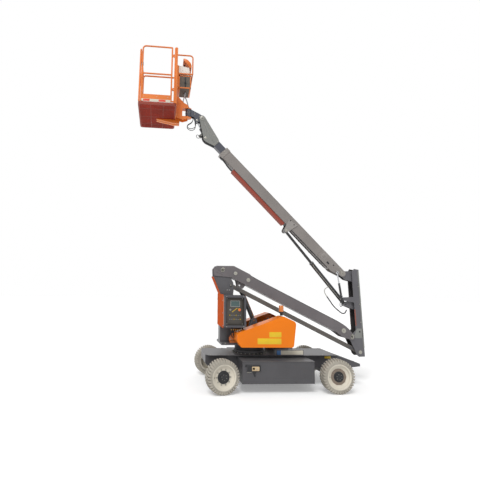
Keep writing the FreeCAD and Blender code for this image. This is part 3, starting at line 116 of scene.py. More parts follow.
# Colours and sizes
def linear(code):
    """An sRGB hex colour as linear red, green and blue."""
    shares = [int(code[i : i + 2], 16) / 255 for i in (1, 3, 5)]
    return tuple(c / 12.92 if c <= 0.04045 else ((c + 0.055) / 1.055) ** 2.4 for c in shares)


def colour(name, description, code):
    """A colour that a user may change."""
    return FloatVectorProperty(
        name=name, description=description, subtype="COLOR", size=3, min=0, max=1, default=linear(code)
    )


def length(name, description, default):
    """A size that a user may change."""
    return FloatProperty(name=name, description=description, default=default, min=0, unit="LENGTH")


class LiftColours(bpy.types.PropertyGroup):
    """The lift's colours."""

    chassis: colour("Chassis", "Grey enamel of the chassis and axles", "#454447")
    turntable: colour("Turntable", "Grey enamel of the turntable and its column", "#545356")
    boom: colour("Booms", "Warm grey enamel of the upper boom", "#87817d")
    lower: colour("Lower boom", "Grey enamel of the lower boom, its links and the upright", "#676264")
    fly: colour("Fly boom", "Slate enamel of the fly tube and yoke", "#494b55")
    nose: colour("Nose plates", "Pale grey enamel of the nose plates", "#7d7e7a")
    orange: colour("Rails", "Orange powder coat of the rails and brackets", "#e97e2f")
    cover: colour("Front cover", "Orange enamel of the column's front cover", "#cc5518")
    hood: colour("Hoods", "Orange gel coat of the moulded hoods", "#f07d08")
    # painted shade: this red-brown stands for the orange floor and cable tray in shade
    tray: colour("Platform floor", "Red-brown primer of the floor and cable tray", "#8e3b2b")
    tyre: colour("Tyres", "Non-marking rubber", "#b3ada1")
    rim: colour("Rims", "Off-white wheel enamel", "#d8d1c1")
    box: colour("Control box", "Grey enamel of the ground control box", "#454449")
    console: colour("Platform console", "Pale moulded console", "#f8f3e8")
    label: colour("Blank labels", "Yellow film of the blank labels", "#e8c014")
    stop: colour("Stop button", "Red-orange stop button", "#f0642c")
    display: colour("Display", "Glass of the panel's display", "#35504f")
    beacon: colour("Beacon", "Amber lens", "#f58a1c")


class LiftSizes(bpy.types.PropertyGroup):
    """Sizes of what the scene adds."""

    edge: length("Plate edge", "Rounding of flame-cut plate edges", 2.5 * MM)
    sheet_edge: length("Sheet edge", "Rounding of folded sheet edges", 4 * MM)
    hood_edge: length("Hood edge", "Rounding of the hoods' moulded edges", 34 * MM)
    hose: length("Hose", "Outer diameter of the hydraulic hoses", 15 * MM)
    wheel_nuts: IntProperty(name="Wheel nuts", description="Nuts of each wheel", default=10, min=5, max=12)
    side_lugs: IntProperty(name="Lugs", description="Lugs of each tyre's edge", default=36, min=18, max=44)


# Materials
def add(tree, kind, sockets=None, **settings):
    """A node with its settings, and its sockets given a value or a link."""
    node = tree.nodes.new(kind)
    for name, value in settings.items():
        setattr(node, name, value)
    for name, value in (sockets or {}).items():
        if isinstance(value, bpy.types.NodeSocket):
            tree.links.new(value, node.inputs[name])
        else:
            node.inputs[name].default_value = value
    return node


def started(name):
    """A new material, its node tree, its shader and the object coordinates."""
    material = bpy.data.materials.new(name)
    material.use_nodes = True
    tree = material.node_tree
    tree.nodes.clear()
    shader = add(tree, "ShaderNodeBsdfPrincipled")
    output = add(tree, "ShaderNodeOutputMaterial")
    tree.links.new(shader.outputs["BSDF"], output.inputs["Surface"])
    place = add(tree, "ShaderNodeTexCoord").outputs["Object"]
    return material, tree, shader, place


def grained(tree, place, size_mm, detail=2.0, rough=0.5):
    """Noise whose blobs are about size_mm across."""
    sockets = {"Vector": place, "Scale": 1000 / size_mm, "Detail": detail, "Roughness": rough}
    return add(tree, "ShaderNodeTexNoise", sockets).outputs["Fac"]


def shade_of(rgb, factor):
    """A colour made darker or lighter, as a node socket takes it."""
    return (*(min(1.0, c * factor) for c in rgb), 1.0)


def mixed(tree, share, first, second):
    """Two colours mixed by a share."""
    sockets = {"Factor": share, "A": first, "B": second}
    node = add(tree, "ShaderNodeMix", data_type="RGBA")
    for name, value in sockets.items():
        socket = next(s for s in node.inputs if s.name == name and s.enabled)
        if isinstance(value, bpy.types.NodeSocket):
            tree.links.new(value, socket)
        else:
            socket.default_value = value
    return next(s for s in node.outputs if s.enabled)


def stretched(tree, value, low, high, from_low=0.0, from_high=1.0):
    """A value mapped to another range."""
    sockets = {"Value": value, "From Min": from_low, "From Max": from_high, "To Min": low, "To Max": high}
    return add(tree, "ShaderNodeMapRange", sockets).outputs["Result"]


def bumped(tree, shader, height, depth_mm, strength=1.0):
    """A bump of a real depth on the shader."""
    sockets = {"Height": height, "Distance": depth_mm * MM, "Strength": strength}
    bump = add(tree, "ShaderNodeBump", sockets)
    tree.links.new(bump.outputs["Normal"], shader.inputs["Normal"])
    return bump


def seen_directly(tree):
    """One for what the camera sees, also in a reflection or through a lens, and nought for the light on things."""
    path = add(tree, "ShaderNodeLightPath").outputs
    mirrored = add(tree, "ShaderNodeMath", {0: path["Is Camera Ray"], 1: path["Is Glossy Ray"]}, operation="MAXIMUM")
    sockets = {0: mirrored.outputs[0], 1: path["Is Transmission Ray"]}
    return add(tree, "ShaderNodeMath", sockets, operation="MAXIMUM").outputs[0]


def enamel(name, rgb, rough=0.42, coat=0.15, dust=0.10, wear=0.25, peel_mm=3.0, shine=0.5):
    """Sprayed two-pack enamel on welded steel: faint orange peel, dust on what faces up, rubbed pale edges."""
    material, tree, shader, place = started(name)
    cloud = grained(tree, place, 420, 3.0)
    base = mixed(tree, stretched(tree, cloud, 0, 0.9, 0.3, 0.7), shade_of(rgb, 0.88), shade_of(rgb, 1.10))
    fine = grained(tree, place, 26, 4.0, 0.65)
    up = add(tree, "ShaderNodeSeparateXYZ", {"Vector": add(tree, "ShaderNodeNewGeometry").outputs["Normal"]})
    settled = add(
        tree, "ShaderNodeMath", {0: stretched(tree, up.outputs["Z"], 0, dust, 0.2, 1.0), 1: fine}, operation="MULTIPLY"
    )
    base = mixed(tree, settled.outputs["Value"], base, (0.42, 0.40, 0.36, 1))
    edge = add(tree, "ShaderNodeNewGeometry").outputs["Pointiness"]
    rubbed = add(
        tree, "ShaderNodeMath", {0: stretched(tree, edge, 0, wear, 0.52, 0.60), 1: fine}, operation="MULTIPLY"
    )
    base = mixed(tree, rubbed.outputs["Value"], base, shade_of(rgb, 2.2))
    tree.links.new(base, shader.inputs["Base Color"])
    tree.links.new(stretched(tree, fine, rough - 0.07, rough + 0.09), shader.inputs["Roughness"])
    shader.inputs["Specular IOR Level"].default_value = shine
    shader.inputs["Coat Weight"].default_value = coat
    shader.inputs["Coat Roughness"].default_value = 0.18
    bumped(tree, shader, grained(tree, place, peel_mm), 0.12, 0.35)
    return material


def gel_coat(name, rgb, rough=0.2, coat=0.6, shine=0.5):
    """Gel-coated moulded panel: deep even colour under a hard gloss, with the mould's slow waviness."""
    material, tree, shader, place = started(name)
    cloud = grained(tree, place, 600, 2.0)
    base = mixed(tree, stretched(tree, cloud, 0, 1, 0.35, 0.65), shade_of(rgb, 0.95), shade_of(rgb, 1.05))
    scuff = grained(tree, place, 18, 6.0, 0.7)
    base = mixed(tree, stretched(tree, scuff, 0, 0.35, 0.62, 0.80), base, shade_of(rgb, 0.8))
    tree.links.new(base, shader.inputs["Base Color"])
    tree.links.new(stretched(tree, scuff, rough - 0.05, rough + 0.12), shader.inputs["Roughness"])
    shader.inputs["Specular IOR Level"].default_value = shine
    shader.inputs["Coat Weight"].default_value = coat
    shader.inputs["Coat Roughness"].default_value = 0.08
    bumped(tree, shader, grained(tree, place, 90, 1.0), 0.5, 0.25)
    return material


def moulded(name, rgb, rough=0.55, grain_mm=4.0):
    """Moulded ABS or nylon: even colour and a fine spark-eroded grain, drawn coarse enough to show."""
    material, tree, shader, place = started(name)
    cloud = grained(tree, place, 120, 3.0)
    base = mixed(tree, cloud, shade_of(rgb, 0.85), shade_of(rgb, 1.15))
    tree.links.new(base, shader.inputs["Base Color"])
    grain = grained(tree, place, grain_mm, 3.0)
    tree.links.new(stretched(tree, grain, rough - 0.08, rough + 0.10), shader.inputs["Roughness"])
    bumped(tree, shader, grain, 0.25, 0.5)
    return material


def rubber(name, rgb, rough=0.78, dusty=0.35):
    """Vulcanised rubber: matt, finely pitted, with pale dust in broad patches."""
    material, tree, shader, place = started(name)
    patch = grained(tree, place, 150, 5.0, 0.6)
    base = mixed(tree, stretched(tree, patch, 0, 1, 0.35, 0.7), shade_of(rgb, 0.82), shade_of(rgb, 1.06))
    streak = grained(tree, place, 22, 5.0, 0.7)
    base = mixed(tree, stretched(tree, streak, 0, dusty, 0.5, 0.8), base, shade_of(rgb, 1.25))
    tree.links.new(base, shader.inputs["Base Color"])
    pits = grained(tree, place, 5, 4.0, 0.7)
    tree.links.new(stretched(tree, pits, rough - 0.1, rough + 0.12), shader.inputs["Roughness"])
    bumped(tree, shader, pits, 0.5, 0.6)
    return material


def bright_metal(name, rgb, rough=0.12, line_mm=1.5):
    """Bare or plated metal: full reflection, broken by fine lines from grinding or wiping."""
    material, tree, shader, place = started(name)
    line = grained(tree, place, line_mm, 2.0)
    smear = grained(tree, place, 60, 4.0, 0.6)
    base = mixed(tree, stretched(tree, smear, 0, 1, 0.3, 0.7), shade_of(rgb, 0.86), shade_of(rgb, 1.05))
    tree.links.new(base, shader.inputs["Base Color"])
    shader.inputs["Metallic"].default_value = 1.0
    tree.links.new(stretched(tree, smear, rough, rough + 0.16, 0.3, 0.7), shader.inputs["Roughness"])
    bumped(tree, shader, line, 0.03, 0.3)
    return material


def cast_iron(name, rgb, rough=0.62):
    """Sand-cast iron under one coat of paint: pebbly skin, dull, darker in the hollows."""
    material, tree, shader, place = started(name)
    sand = grained(tree, place, 7, 5.0, 0.6)
    cloud = grained(tree, place, 200, 3.0)
    base = mixed(tree, cloud, shade_of(rgb, 0.75), shade_of(rgb, 1.2))
    base = mixed(tree, stretched(tree, sand, 0.3, 0, 0.3, 0.5), base, shade_of(rgb, 0.5))
    tree.links.new(base, shader.inputs["Base Color"])
    tree.links.new(stretched(tree, sand, rough - 0.1, rough + 0.15), shader.inputs["Roughness"])
    bumped(tree, shader, sand, 1.0, 0.6)
    return material


def lens(name, rgb):
    """Injection-moulded polycarbonate lens: clear colour, strong gloss and a fine prism pattern inside."""
    material, tree, shader, place = started(name)
    sockets = {"Vector": place, "Scale": 1000 / 12}
    prism = add(tree, "ShaderNodeTexVoronoi", sockets).outputs["Distance"]
    base = mixed(tree, stretched(tree, prism, 0, 1, 0, 0.6), shade_of(rgb, 1.15), shade_of(rgb, 0.7))
    tree.links.new(base, shader.inputs["Base Color"])
    shader.inputs["Roughness"].default_value = 0.12
    shader.inputs["IOR"].default_value = 1.58
    shader.inputs["Coat Weight"].default_value = 0.5
    shader.inputs["Subsurface Weight"].default_value = 0.25
    shader.inputs["Subsurface Radius"].default_value = (0.02, 0.008, 0.002)
    bumped(tree, shader, prism, 0.3, 0.3)
    return material


def film(name, rgb):
    """Printed vinyl film with nothing on it: even colour, semi-gloss, the tiny cells of reflective sheeting."""
    material, tree, shader, place = started(name)
    sockets = {"Vector": place, "Scale": 1000 / 4}
    cells = add(tree, "ShaderNodeTexVoronoi", sockets, feature="DISTANCE_TO_EDGE").outputs["Distance"]
    fade = grained(tree, place, 80, 3.0)
    base = mixed(tree, fade, shade_of(rgb, 0.9), shade_of(rgb, 1.08))
    base = mixed(tree, stretched(tree, cells, 0.25, 0, 0, 0.12), base, shade_of(rgb, 0.75))
    tree.links.new(base, shader.inputs["Base Color"])
    shader.inputs["Roughness"].default_value = 0.38
    shader.inputs["Coat Weight"].default_value = 0.1
    return material


def pressed_mesh(name, rgb):
    """Expanded-steel floor sheet, red-brown as painted shade of the orange floor: rows of lozenge openings 42 by 18 mm,
    drawn dark as painted shade.
    """
    material, tree, shader, place = started(name)
    brick = add(
        tree,
        "ShaderNodeTexBrick",
        {
            "Vector": place,
            "Scale": 1.0,
            "Color1": (1, 1, 1, 1),
            "Color2": (1, 1, 1, 1),
            "Mortar": (0, 0, 0, 1),
            "Mortar Size": 0.006,
            "Mortar Smooth": 0.4,
            "Brick Width": 0.060,
            "Row Height": 0.030,
        },
    )
    sheet = brick.outputs["Fac"]
    cloud = grained(tree, place, 240, 4.0)
    base = mixed(tree, stretched(tree, cloud, 0, 1, 0.3, 0.7), shade_of(rgb, 0.6), shade_of(rgb, 1.15))
    # painted shade: the sheet's openings are drawn dark
    base = mixed(tree, stretched(tree, sheet, 0.75, 0, 0, 1), base, shade_of(rgb, 0.35))
    tree.links.new(base, shader.inputs["Base Color"])
    shader.inputs["Roughness"].default_value = 0.7
    shader.inputs["Specular IOR Level"].default_value = 0.2
    bumped(tree, shader, sheet, 3.0, 0.8)
    return material


# each finish is a recipe above, a colour of the panel or a hex code, and what differs in the recipe
FINISHES = {
    "chassis_enamel": (enamel, "chassis", {"rough": 0.45}),
    "turntable_enamel": (enamel, "turntable", {"rough": 0.45}),
    "boom_enamel": (enamel, "boom", {"rough": 0.40}),
    "link_enamel": (enamel, "#5a5550", {"rough": 0.42}),
    "lower_boom_enamel": (enamel, "lower", {"rough": 0.42}),
    "fly_enamel": (enamel, "fly", {"rough": 0.36}),
    "nose_enamel": (enamel, "nose", {"rough": 0.45}),
    "orange_powder_coat": (enamel, "orange", {"rough": 0.36, "coat": 0.12, "dust": 0.04, "wear": 0.1}),
    "hood_gel_coat": (gel_coat, "hood", {"rough": 0.3, "coat": 0.05, "shine": 0.25}),
    # painted shade: the tray and the floor sheet are red-brown where the orange floor and cable tray fall in shade
    "tray_primer": (enamel, "tray", {"rough": 0.58, "coat": 0.0}),
    "floor_sheet": (pressed_mesh, "#ad3018", {}),
    "non_marking_rubber": (rubber, "tyre", {}),
    "wheel_enamel": (enamel, "rim", {"rough": 0.4, "coat": 0.2, "dust": 0.12}),
    "hub_black_casting": (cast_iron, "#1d1e20", {"rough": 0.5}),
    "counterweight_casting": (cast_iron, "#4b4c50", {}),
    "cylinder_black_enamel": (enamel, "#202124", {"rough": 0.3, "coat": 0.4, "dust": 0.06}),
    "hard_chrome_rod": (bright_metal, "#c9cbce", {"rough": 0.08}),
    # painted shade: the luff rod's chrome is drawn black, as it looks in shade
    "nitrided_rod": (enamel, "#1a1b1d", {"rough": 0.22, "coat": 0.3, "dust": 0.0, "wear": 0.0}),
    "bracket_enamel": (enamel, "#918c88", {"rough": 0.42}),
    # painted shade: darker copies of the upright's enamel for its outer side faces and, darker still, its inner faces
    "flange_enamel": (enamel, "#59585c", {"rough": 0.42}),
    "inner_grey_enamel": (enamel, "#3c3a3a", {"rough": 0.55, "coat": 0.0}),
    "cover_enamel": (enamel, "cover", {"rough": 0.8, "coat": 0.0, "dust": 0.02, "wear": 0.1, "shine": 0.1}),
    "zinc_plated_steel": (bright_metal, "#a7a59c", {"rough": 0.28}),
    "brass_fitting": (bright_metal, "#b98a4a", {"rough": 0.25}),
    "copper_pipe": (bright_metal, "#a8663f", {"rough": 0.3}),
    "hose_rubber": (rubber, "#232428", {"rough": 0.5, "dusty": 0.2}),
    "cable_jacket": (moulded, "#b9bcbf", {"rough": 0.5}),
    "black_nylon": (moulded, "#1c1d20", {}),
    "grey_control_enamel": (enamel, "box", {"rough": 0.4, "coat": 0.08, "dust": 0.12}),
    "panel_membrane": (moulded, "#45403a", {"rough": 0.42, "grain_mm": 6.0}),
    "console_plastic": (moulded, "console", {"rough": 0.45}),
    "bezel_grey": (moulded, "#9a9a97", {"rough": 0.4}),
    "hub_brown_enamel": (enamel, "#7f7265", {"rough": 0.55}),
    "display_glass": (gel_coat, "display", {"rough": 0.12}),
    "stop_button_plastic": (gel_coat, "stop", {"rough": 0.25}),
    "tan_plastic": (moulded, "#c9b08a", {"rough": 0.5}),
    "amber_lens": (lens, "beacon", {}),
    "yellow_label_film": (film, "label", {}),
    "cream_stripe_film": (film, "#dcd6c4", {}),
    "blue_stripe_film": (film, "#2f6fb0", {}),
    "red_dash_film": (film, "#e2462e", {}),
    "grey_canvas": (moulded, "#6d675e", {"rough": 0.8, "grain_mm": 5.0}),
    "primer_strip": (enamel, "#8f4a38", {"rough": 0.5, "coat": 0.0}),
}


def finish(name):
    """The finish of that name, made when a piece first asks for it."""
    if name not in bpy.data.materials:
        recipe, tint, settings = FINISHES[name]
        rgb = linear(tint) if tint.startswith("#") else getattr(bpy.context.scene.lift_colours, tint)
        recipe(name, rgb, **settings)
    return bpy.data.materials[name]


# Shapes
def facing(place, axis):
    """A frame at a place whose Z lies along the axis."""
    return Matrix.Translation(place) @ Vector(axis).to_track_quat("Z", "Y").to_matrix().to_4x4()


def painted(verts, paint):
    """Gives the faces of some new vertices their material's number."""
    for vert in verts:
        for face in vert.link_faces:
            face.material_index = paint


def ease(mesh, edges, width, segments=2):
    """Rounds edges off."""
    if width <= 0 or not edges:
        return
    bmesh.ops.bevel(
        mesh,
        geom=edges,
        offset=width,
        offset_type="OFFSET",
        segments=segments,
        profile=0.5,
        affect="EDGES",
        clamp_overlap=True,
        material=-1,
    )


def block(mesh, low, high, edge=1.5 * MM, paint=0, turn=None, segments=2):
    """A box between two corners with eased edges, turned by a matrix where one is given."""
    low, high = Vector(low), Vector(high)
    made = bmesh.ops.create_cube(mesh, size=1.0)["verts"]
    bmesh.ops.scale(mesh, vec=high - low, verts=made)
    bmesh.ops.translate(mesh, vec=(low + high) / 2, verts=made)
    if turn is not None:
        bmesh.ops.transform(mesh, matrix=turn, verts=made)
    painted(made, paint)
    ease(mesh, list({e for v in made for e in v.link_edges}), edge, segments)


def disc(mesh, place, axis, radius, thick, edge=1.0 * MM, paint=0, sides=32, top=None):
    """A round bar or disc that starts at a place and runs along an axis; top is its other radius."""
    axis = Vector(axis).normalized()
    frame_there = facing(Vector(place) + axis * (thick / 2), axis)
    made = bmesh.ops.create_cone(
        mesh,
        cap_ends=True,
        cap_tris=False,
        segments=sides,
        radius1=radius,
        radius2=radius if top is None else top,
        depth=thick,
        matrix=frame_there,
    )["verts"]
    painted(made, paint)
    edges = {e for v in made for e in v.link_edges}
    rims = [e for e in edges if any(len(f.verts) > 4 for f in e.link_faces)]
    if sides > 6:
        ease(mesh, rims, edge)


def turned_shape(mesh, rows, place, axis, sides=48, paint=0, closed=True):
    """A shape turned about an axis from rows of distance along it and radius."""
    before = set(mesh.verts)
    verts = [mesh.verts.new((radius, 0, along)) for along, radius in rows]
    pairs = zip(verts, verts[1:] + verts[:1]) if closed else zip(verts, verts[1:])
    edges = [mesh.edges.new(pair) for pair in pairs]
    bmesh.ops.spin(
        mesh, geom=verts + edges, axis=(0, 0, 1), cent=(0, 0, 0), steps=sides, angle=math.tau, use_merge=True
    )
    made = [v for v in mesh.verts if v not in before]
    bmesh.ops.remove_doubles(mesh, verts=made, dist=0.001 * MM)
    made = [v for v in mesh.verts if v not in before]
    bmesh.ops.transform(mesh, matrix=facing(place, axis), verts=made)
    painted(made, paint)


def rounded(corners, radius, steps=5):
    """An outline whose corners are rounded to a radius, or to each corner's own where a list is given."""
    points = [Vector(corner) for corner in corners]
    radii = radius if isinstance(radius, (list, tuple)) else [radius] * len(points)
    made = []
    for i, (corner, bend) in enumerate(zip(points, radii)):
        back = (points[i - 1] - corner).normalized()
        ahead = (points[(i + 1) % len(points)] - corner).normalized()
        half = back.angle(ahead) / 2
        if bend <= 0 or half > 1.56:
            made.append(tuple(corner))
            continue
        middle = corner + (back + ahead).normalized() * (bend / math.sin(half))
        first = corner + back * (bend / math.tan(half)) - middle
        last = corner + ahead * (bend / math.tan(half)) - middle
        for step in range(steps + 1):
            at = first.slerp(last, step / steps).normalized() * bend
            made.append(tuple(middle + at))
    return made


def oblong(low, high, radius, steps=5):
    """A rectangle's outline with rounded corners."""
    corners = [(low[0], low[1]), (high[0], low[1]), (high[0], high[1]), (low[0], high[1])]
    return rounded(corners, radius, steps)


def slab(mesh, outline, low, high, edge=1.0 * MM, paint=0, turn=None, segments=2, caps="both"):
    """A plate whose outline lies in the side view (X, Z), from one Y to another, its rims eased."""
    verts = [mesh.verts.new((x, low, z)) for x, z in outline]
    face = mesh.faces.new(verts)
    grown = bmesh.ops.extrude_face_region(mesh, geom=[face])["geom"]
    tops = [g for g in grown if isinstance(g, bmesh.types.BMVert)]
    bmesh.ops.translate(mesh, vec=(0, high - low, 0), verts=tops)
    made = list(set(verts + tops))
    painted(made, paint)
    rims = set()
    for ring, name in ((verts, "low"), (tops, "high")):
        if caps in ("both", name):
            chosen = set(ring)
            rims |= {e for v in ring for e in v.link_edges if e.other_vert(v) in chosen}
    if turn is not None:
        bmesh.ops.transform(mesh, matrix=turn, verts=made)
    ease(mesh, list(rims), edge, segments)


def bolt(mesh, place, axis, across, paint=0, washer=True):
    """A hexagon head on its washer."""
    axis = Vector(axis).normalized()
    place = Vector(place)
    if washer:
        disc(mesh, place, axis, across * 0.78, across * 0.14, 0, paint, 14)
        place = place + axis * across * 0.14
    disc(mesh, place, axis, across * 0.56, across * 0.42, 0, paint, 6)
    disc(mesh, place + axis * across * 0.42, axis, across * 0.54, across * 0.12, 0, paint, 6, across * 0.42)


def circle_of(count, radius, start=0.0):
    """Points on a circle in the XY plane."""
    turns = [start + math.tau * i / count for i in range(count)]
    return [Vector((radius * math.cos(a), radius * math.sin(a), 0)) for a in turns]


def piece(name, mesh, body, finishes, place=None, smooth=38, mend=True):
    """A finished piece: its mesh put in place, its finishes and the body that it rides on."""
    if place is not None:
        bmesh.ops.transform(mesh, matrix=place, verts=mesh.verts)
    if mend:
        bmesh.ops.recalc_face_normals(mesh, faces=mesh.faces)
    data = bpy.data.meshes.new(name)
    mesh.to_mesh(data)
    mesh.free()
    for one in finishes:
        data.materials.append(finish(one))
    data.shade_smooth()
    data.set_sharp_from_angle(angle=math.radians(smooth))
    made = bpy.data.objects.new(name, data)
    bpy.context.scene.collection.objects.link(made)
    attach(made, body)
    return made


def dressed(node, finishes, edge=None, choose=None, segments=2):
    """A CAD node's solid with its hard edges eased, which stands for the node."""
    edge = bpy.context.scene.lift_sizes.edge if edge is None else edge
    source = frame["nodes"][node]
    mesh = bmesh.new()
    mesh.from_mesh(source.data)
    bmesh.ops.remove_doubles(mesh, verts=mesh.verts, dist=0.02 * MM)
    bmesh.ops.dissolve_limit(mesh, angle_limit=math.radians(0.5), verts=mesh.verts, edges=mesh.edges)
    for face in mesh.faces:
        face.material_index = choose(face.calc_center_median(), face.normal) if choose else 0
    hard = math.radians(32)
    sharp = [e for e in mesh.edges if len(e.link_faces) == 2 and e.calc_face_angle(0) > hard]
    ease(mesh, sharp, edge, segments)
    made = piece(f"{node}_finished", mesh, source["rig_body"], finishes, smooth=30, mend=False)
    weighted = made.modifiers.new("even_shading", "WEIGHTED_NORMAL")
    weighted.keep_sharp = True
    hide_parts(node)
    return made


def repainted(nodes, name):
    """CAD nodes whose shape is right, given their finish."""
    for node in nodes:
        data = frame["nodes"][node].data
        data.materials.clear()
        data.materials.append(finish(name))
        data.shade_smooth()
        data.set_sharp_from_angle(angle=math.radians(30))


def line(name, points, diameter, body, finish_name, slot, place=None, cyclic=False):
    """A round hose, pipe or rail along a smooth line through its control points."""
    curve = bpy.data.curves.new(name, "CURVE")
    curve.dimensions = "3D"
    spline = curve.splines.new("NURBS")
    spline.points.add(len(points) - 1)
    for point, target in zip(points, spline.points):
        at = Vector(point) if place is None else place @ Vector(point)
        target.co = (*at, 1.0)
    spline.order_u = 3
    spline.use_endpoint_u = not cyclic
    spline.use_cyclic_u = cyclic
    spline.resolution_u = 8
    curve.bevel_depth = diameter / 2
    curve.bevel_resolution = 4
    curve.use_fill_caps = True
    curve.materials.append(finish(finish_name))
    made = bpy.data.objects.new(name, curve)
    bpy.context.scene.collection.objects.link(made)
    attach(made, body)
    return made


# The pieces
class LiftPiece:
    """What the operators share: a failure stops the build."""

    bl_options = {"REGISTER", "UNDO"}

    def execute(self, context):
        self.build(context.scene.lift_sizes)
        return {"FINISHED"}


class LIFT_OT_chassis(LiftPiece, bpy.types.Operator):
    """Chassis with its deck, stripes, battery boxes, axles, slewing ring and steering gear"""

    bl_idname = "lift.chassis"
    bl_label = "Chassis"

    def build(self, sizes):
        dressed("chassis_frame", ["chassis_enamel"])
        dressed("battery_boxes", ["chassis_enamel"], sizes.sheet_edge)
        for node in ("front_axle", "rear_axle", "knuckle_left", "knuckle_right"):
            dressed(node, ["chassis_enamel"], sizes.edge)
        dressed("slew_ring", ["chassis_enamel"], 2 * MM)
        dressed("steer_cylinder", ["cylinder_black_enamel"], 2 * MM)
        dressed("tie_rod", ["cylinder_black_enamel"], 1.5 * MM)
        repainted(["steer_rod"], "hard_chrome_rod")
        self.stripe()
        self.battery_fronts()
        self.bolts()

    def stripe(self):
        """The low upstand along each side of the deck, cream with a blue end, and the blank label behind it."""
        mesh = bmesh.new()
        for side in (1, -1):
            at = sorted((side * 0.388, side * 0.396))
            slab(mesh, oblong((-0.914, 0.560), (-0.409, 0.655), 0.006), *at, 0.8 * MM)
            skin = sorted((side * 0.396, side * 0.3972))
            slab(mesh, oblong((-0.905, 0.574), (-0.492, 0.648), 0.003), *skin, 0.3 * MM, 1)
            slab(mesh, oblong((-0.492, 0.574), (-0.417, 0.648), 0.003), *skin, 0.3 * MM, 2)
            tag = sorted((side * 0.3295, side * 0.3315))
            slab(mesh, oblong((-1.451, 0.498), (-1.336, 0.540), 0.005), *tag, 0.3 * MM, 3)
            for x in (-0.86, -0.66, -0.46):
                foot = sorted((side * 0.352, side * 0.389))
                block(mesh, (x - 0.02, foot[0], 0.562), (x + 0.02, foot[1], 0.569), 1 * MM)
                bolt(mesh, (x, side * 0.37, 0.569), Z_AXIS, 0.013, 0)
        finishes = ["chassis_enamel", "cream_stripe_film", "blue_stripe_film", "yellow_label_film"]
        piece("deck_upstands", mesh, "root", finishes)

    def battery_fronts(self):
        """The latch recess, drawn as a black plate of painted shade, with its hook, seams, hinges and bolts on the
        battery boxes' outer faces.
        """
        low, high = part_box("battery_boxes")
        mesh = bmesh.new()
        for side in (1, -1):
            face = side * high.y
            skin = sorted((face - side * 1 * MM, face + side * 1.5 * MM))
            rim = sorted((face - side * 1 * MM, face + side * 5 * MM))
            # the latch recess is a black plate of painted shade
            slab(mesh, oblong((-0.023, 0.364), (0.2125, 0.469), 0.018), *skin, 0.4 * MM, 1)
            for inner, outer in (((-0.029, 0.358), (0.2185, 0.366)), ((-0.029, 0.467), (0.2185, 0.475))):
                slab(mesh, oblong(inner, outer, 0.003), *rim, 1 * MM)
            for x in (-0.029, 0.2105):
                slab(mesh, oblong((x, 0.360), (x + 0.008, 0.473), 0.003), *rim, 1 * MM)
            latch = sorted((face, face + side * 6 * MM))
            slab(mesh, oblong((0.000, 0.374), (0.128, 0.444), 0.010), *latch, 2 * MM, 2)
            disc(mesh, (0.048, face + side * 5 * MM, 0.404), (0, side, 0), 0.011, 5 * MM, 1.5 * MM, 3, 28)
            slab(mesh, oblong((0.078, 0.392), (0.118, 0.428), 0.008), *latch, 2 * MM, 1)
            handle = [(0.045, 0.370), (0.112, 0.370), (0.104, 0.325), (0.088, 0.282), (0.066, 0.282), (0.074, 0.325)]
            slab(mesh, rounded(handle, 0.008), *sorted((face, face + side * 9 * MM)), 2.5 * MM, 1)
            slab(mesh, oblong((0.135, 0.346), (0.215, 0.352), 0.002), *latch, 1 * MM, 3)
            for x in (-0.93, -0.64, -0.34, 0.255):
                for z in (0.190, 0.495):
                    disc(mesh, (x, face - side * 0.5 * MM, z), (0, side, 0), 0.009, 3.5 * MM, 1.5 * MM, 0, 20)
        finishes = ["chassis_enamel", "black_nylon", "tan_plastic", "zinc_plated_steel"]
        piece("battery_box_fittings", mesh, "root", finishes)

    def bolts(self):
        """Bolts round the slewing ring, deck seams, drain holes drawn as black plates of painted shade, and the hoses
        of the steering cylinder.
        """
        mesh = bmesh.new()
        for at in circle_of(24, 0.305, 0.07):
            bolt(mesh, (at.x, at.y, 0.5635), Z_AXIS, 0.019, 1)
        for side in (1, -1):
            for x in (-1.50, -1.28, -1.06, 0.46, 0.62, 0.78):
                bolt(mesh, (x, side * 0.372, 0.5635), Z_AXIS, 0.013, 1)
            # drain holes drawn as black plates of painted shade
            slots = sorted((side * 0.3295, side * 0.3312))
            for low_x, high_x, z in ((-0.098, -0.064, 0.486), (-0.735, -0.712, 0.470), (-0.775, -0.748, 0.466)):
                slab(mesh, oblong((low_x, z), (high_x, z + 0.030), 0.006), *slots, 0.3 * MM, 2)
            for x, z in ((-1.46, 0.44), (-1.28, 0.38), (-1.46, 0.38)):
                bolt(mesh, (x, side * 0.3295, z), (0, side, 0), 0.018, 1)
        for y in (-0.2, 0.2):
            bolt(mesh, (0.8695, y, 0.42), X_AXIS, 0.018, 1)
        piece("chassis_bolts", mesh, "root", ["chassis_enamel", "zinc_plated_steel", "black_nylon"])
        for i, y in enumerate((0.255, 0.06)):
            points = [(0.525, y, 0.213), (0.525, y, 0.24), (0.50, y - 0.04, 0.29), (0.44, y - 0.05, 0.33)]
            line(f"steer_hose_{i + 1}", points, 0.013, "root", "hose_rubber", "black_paint")


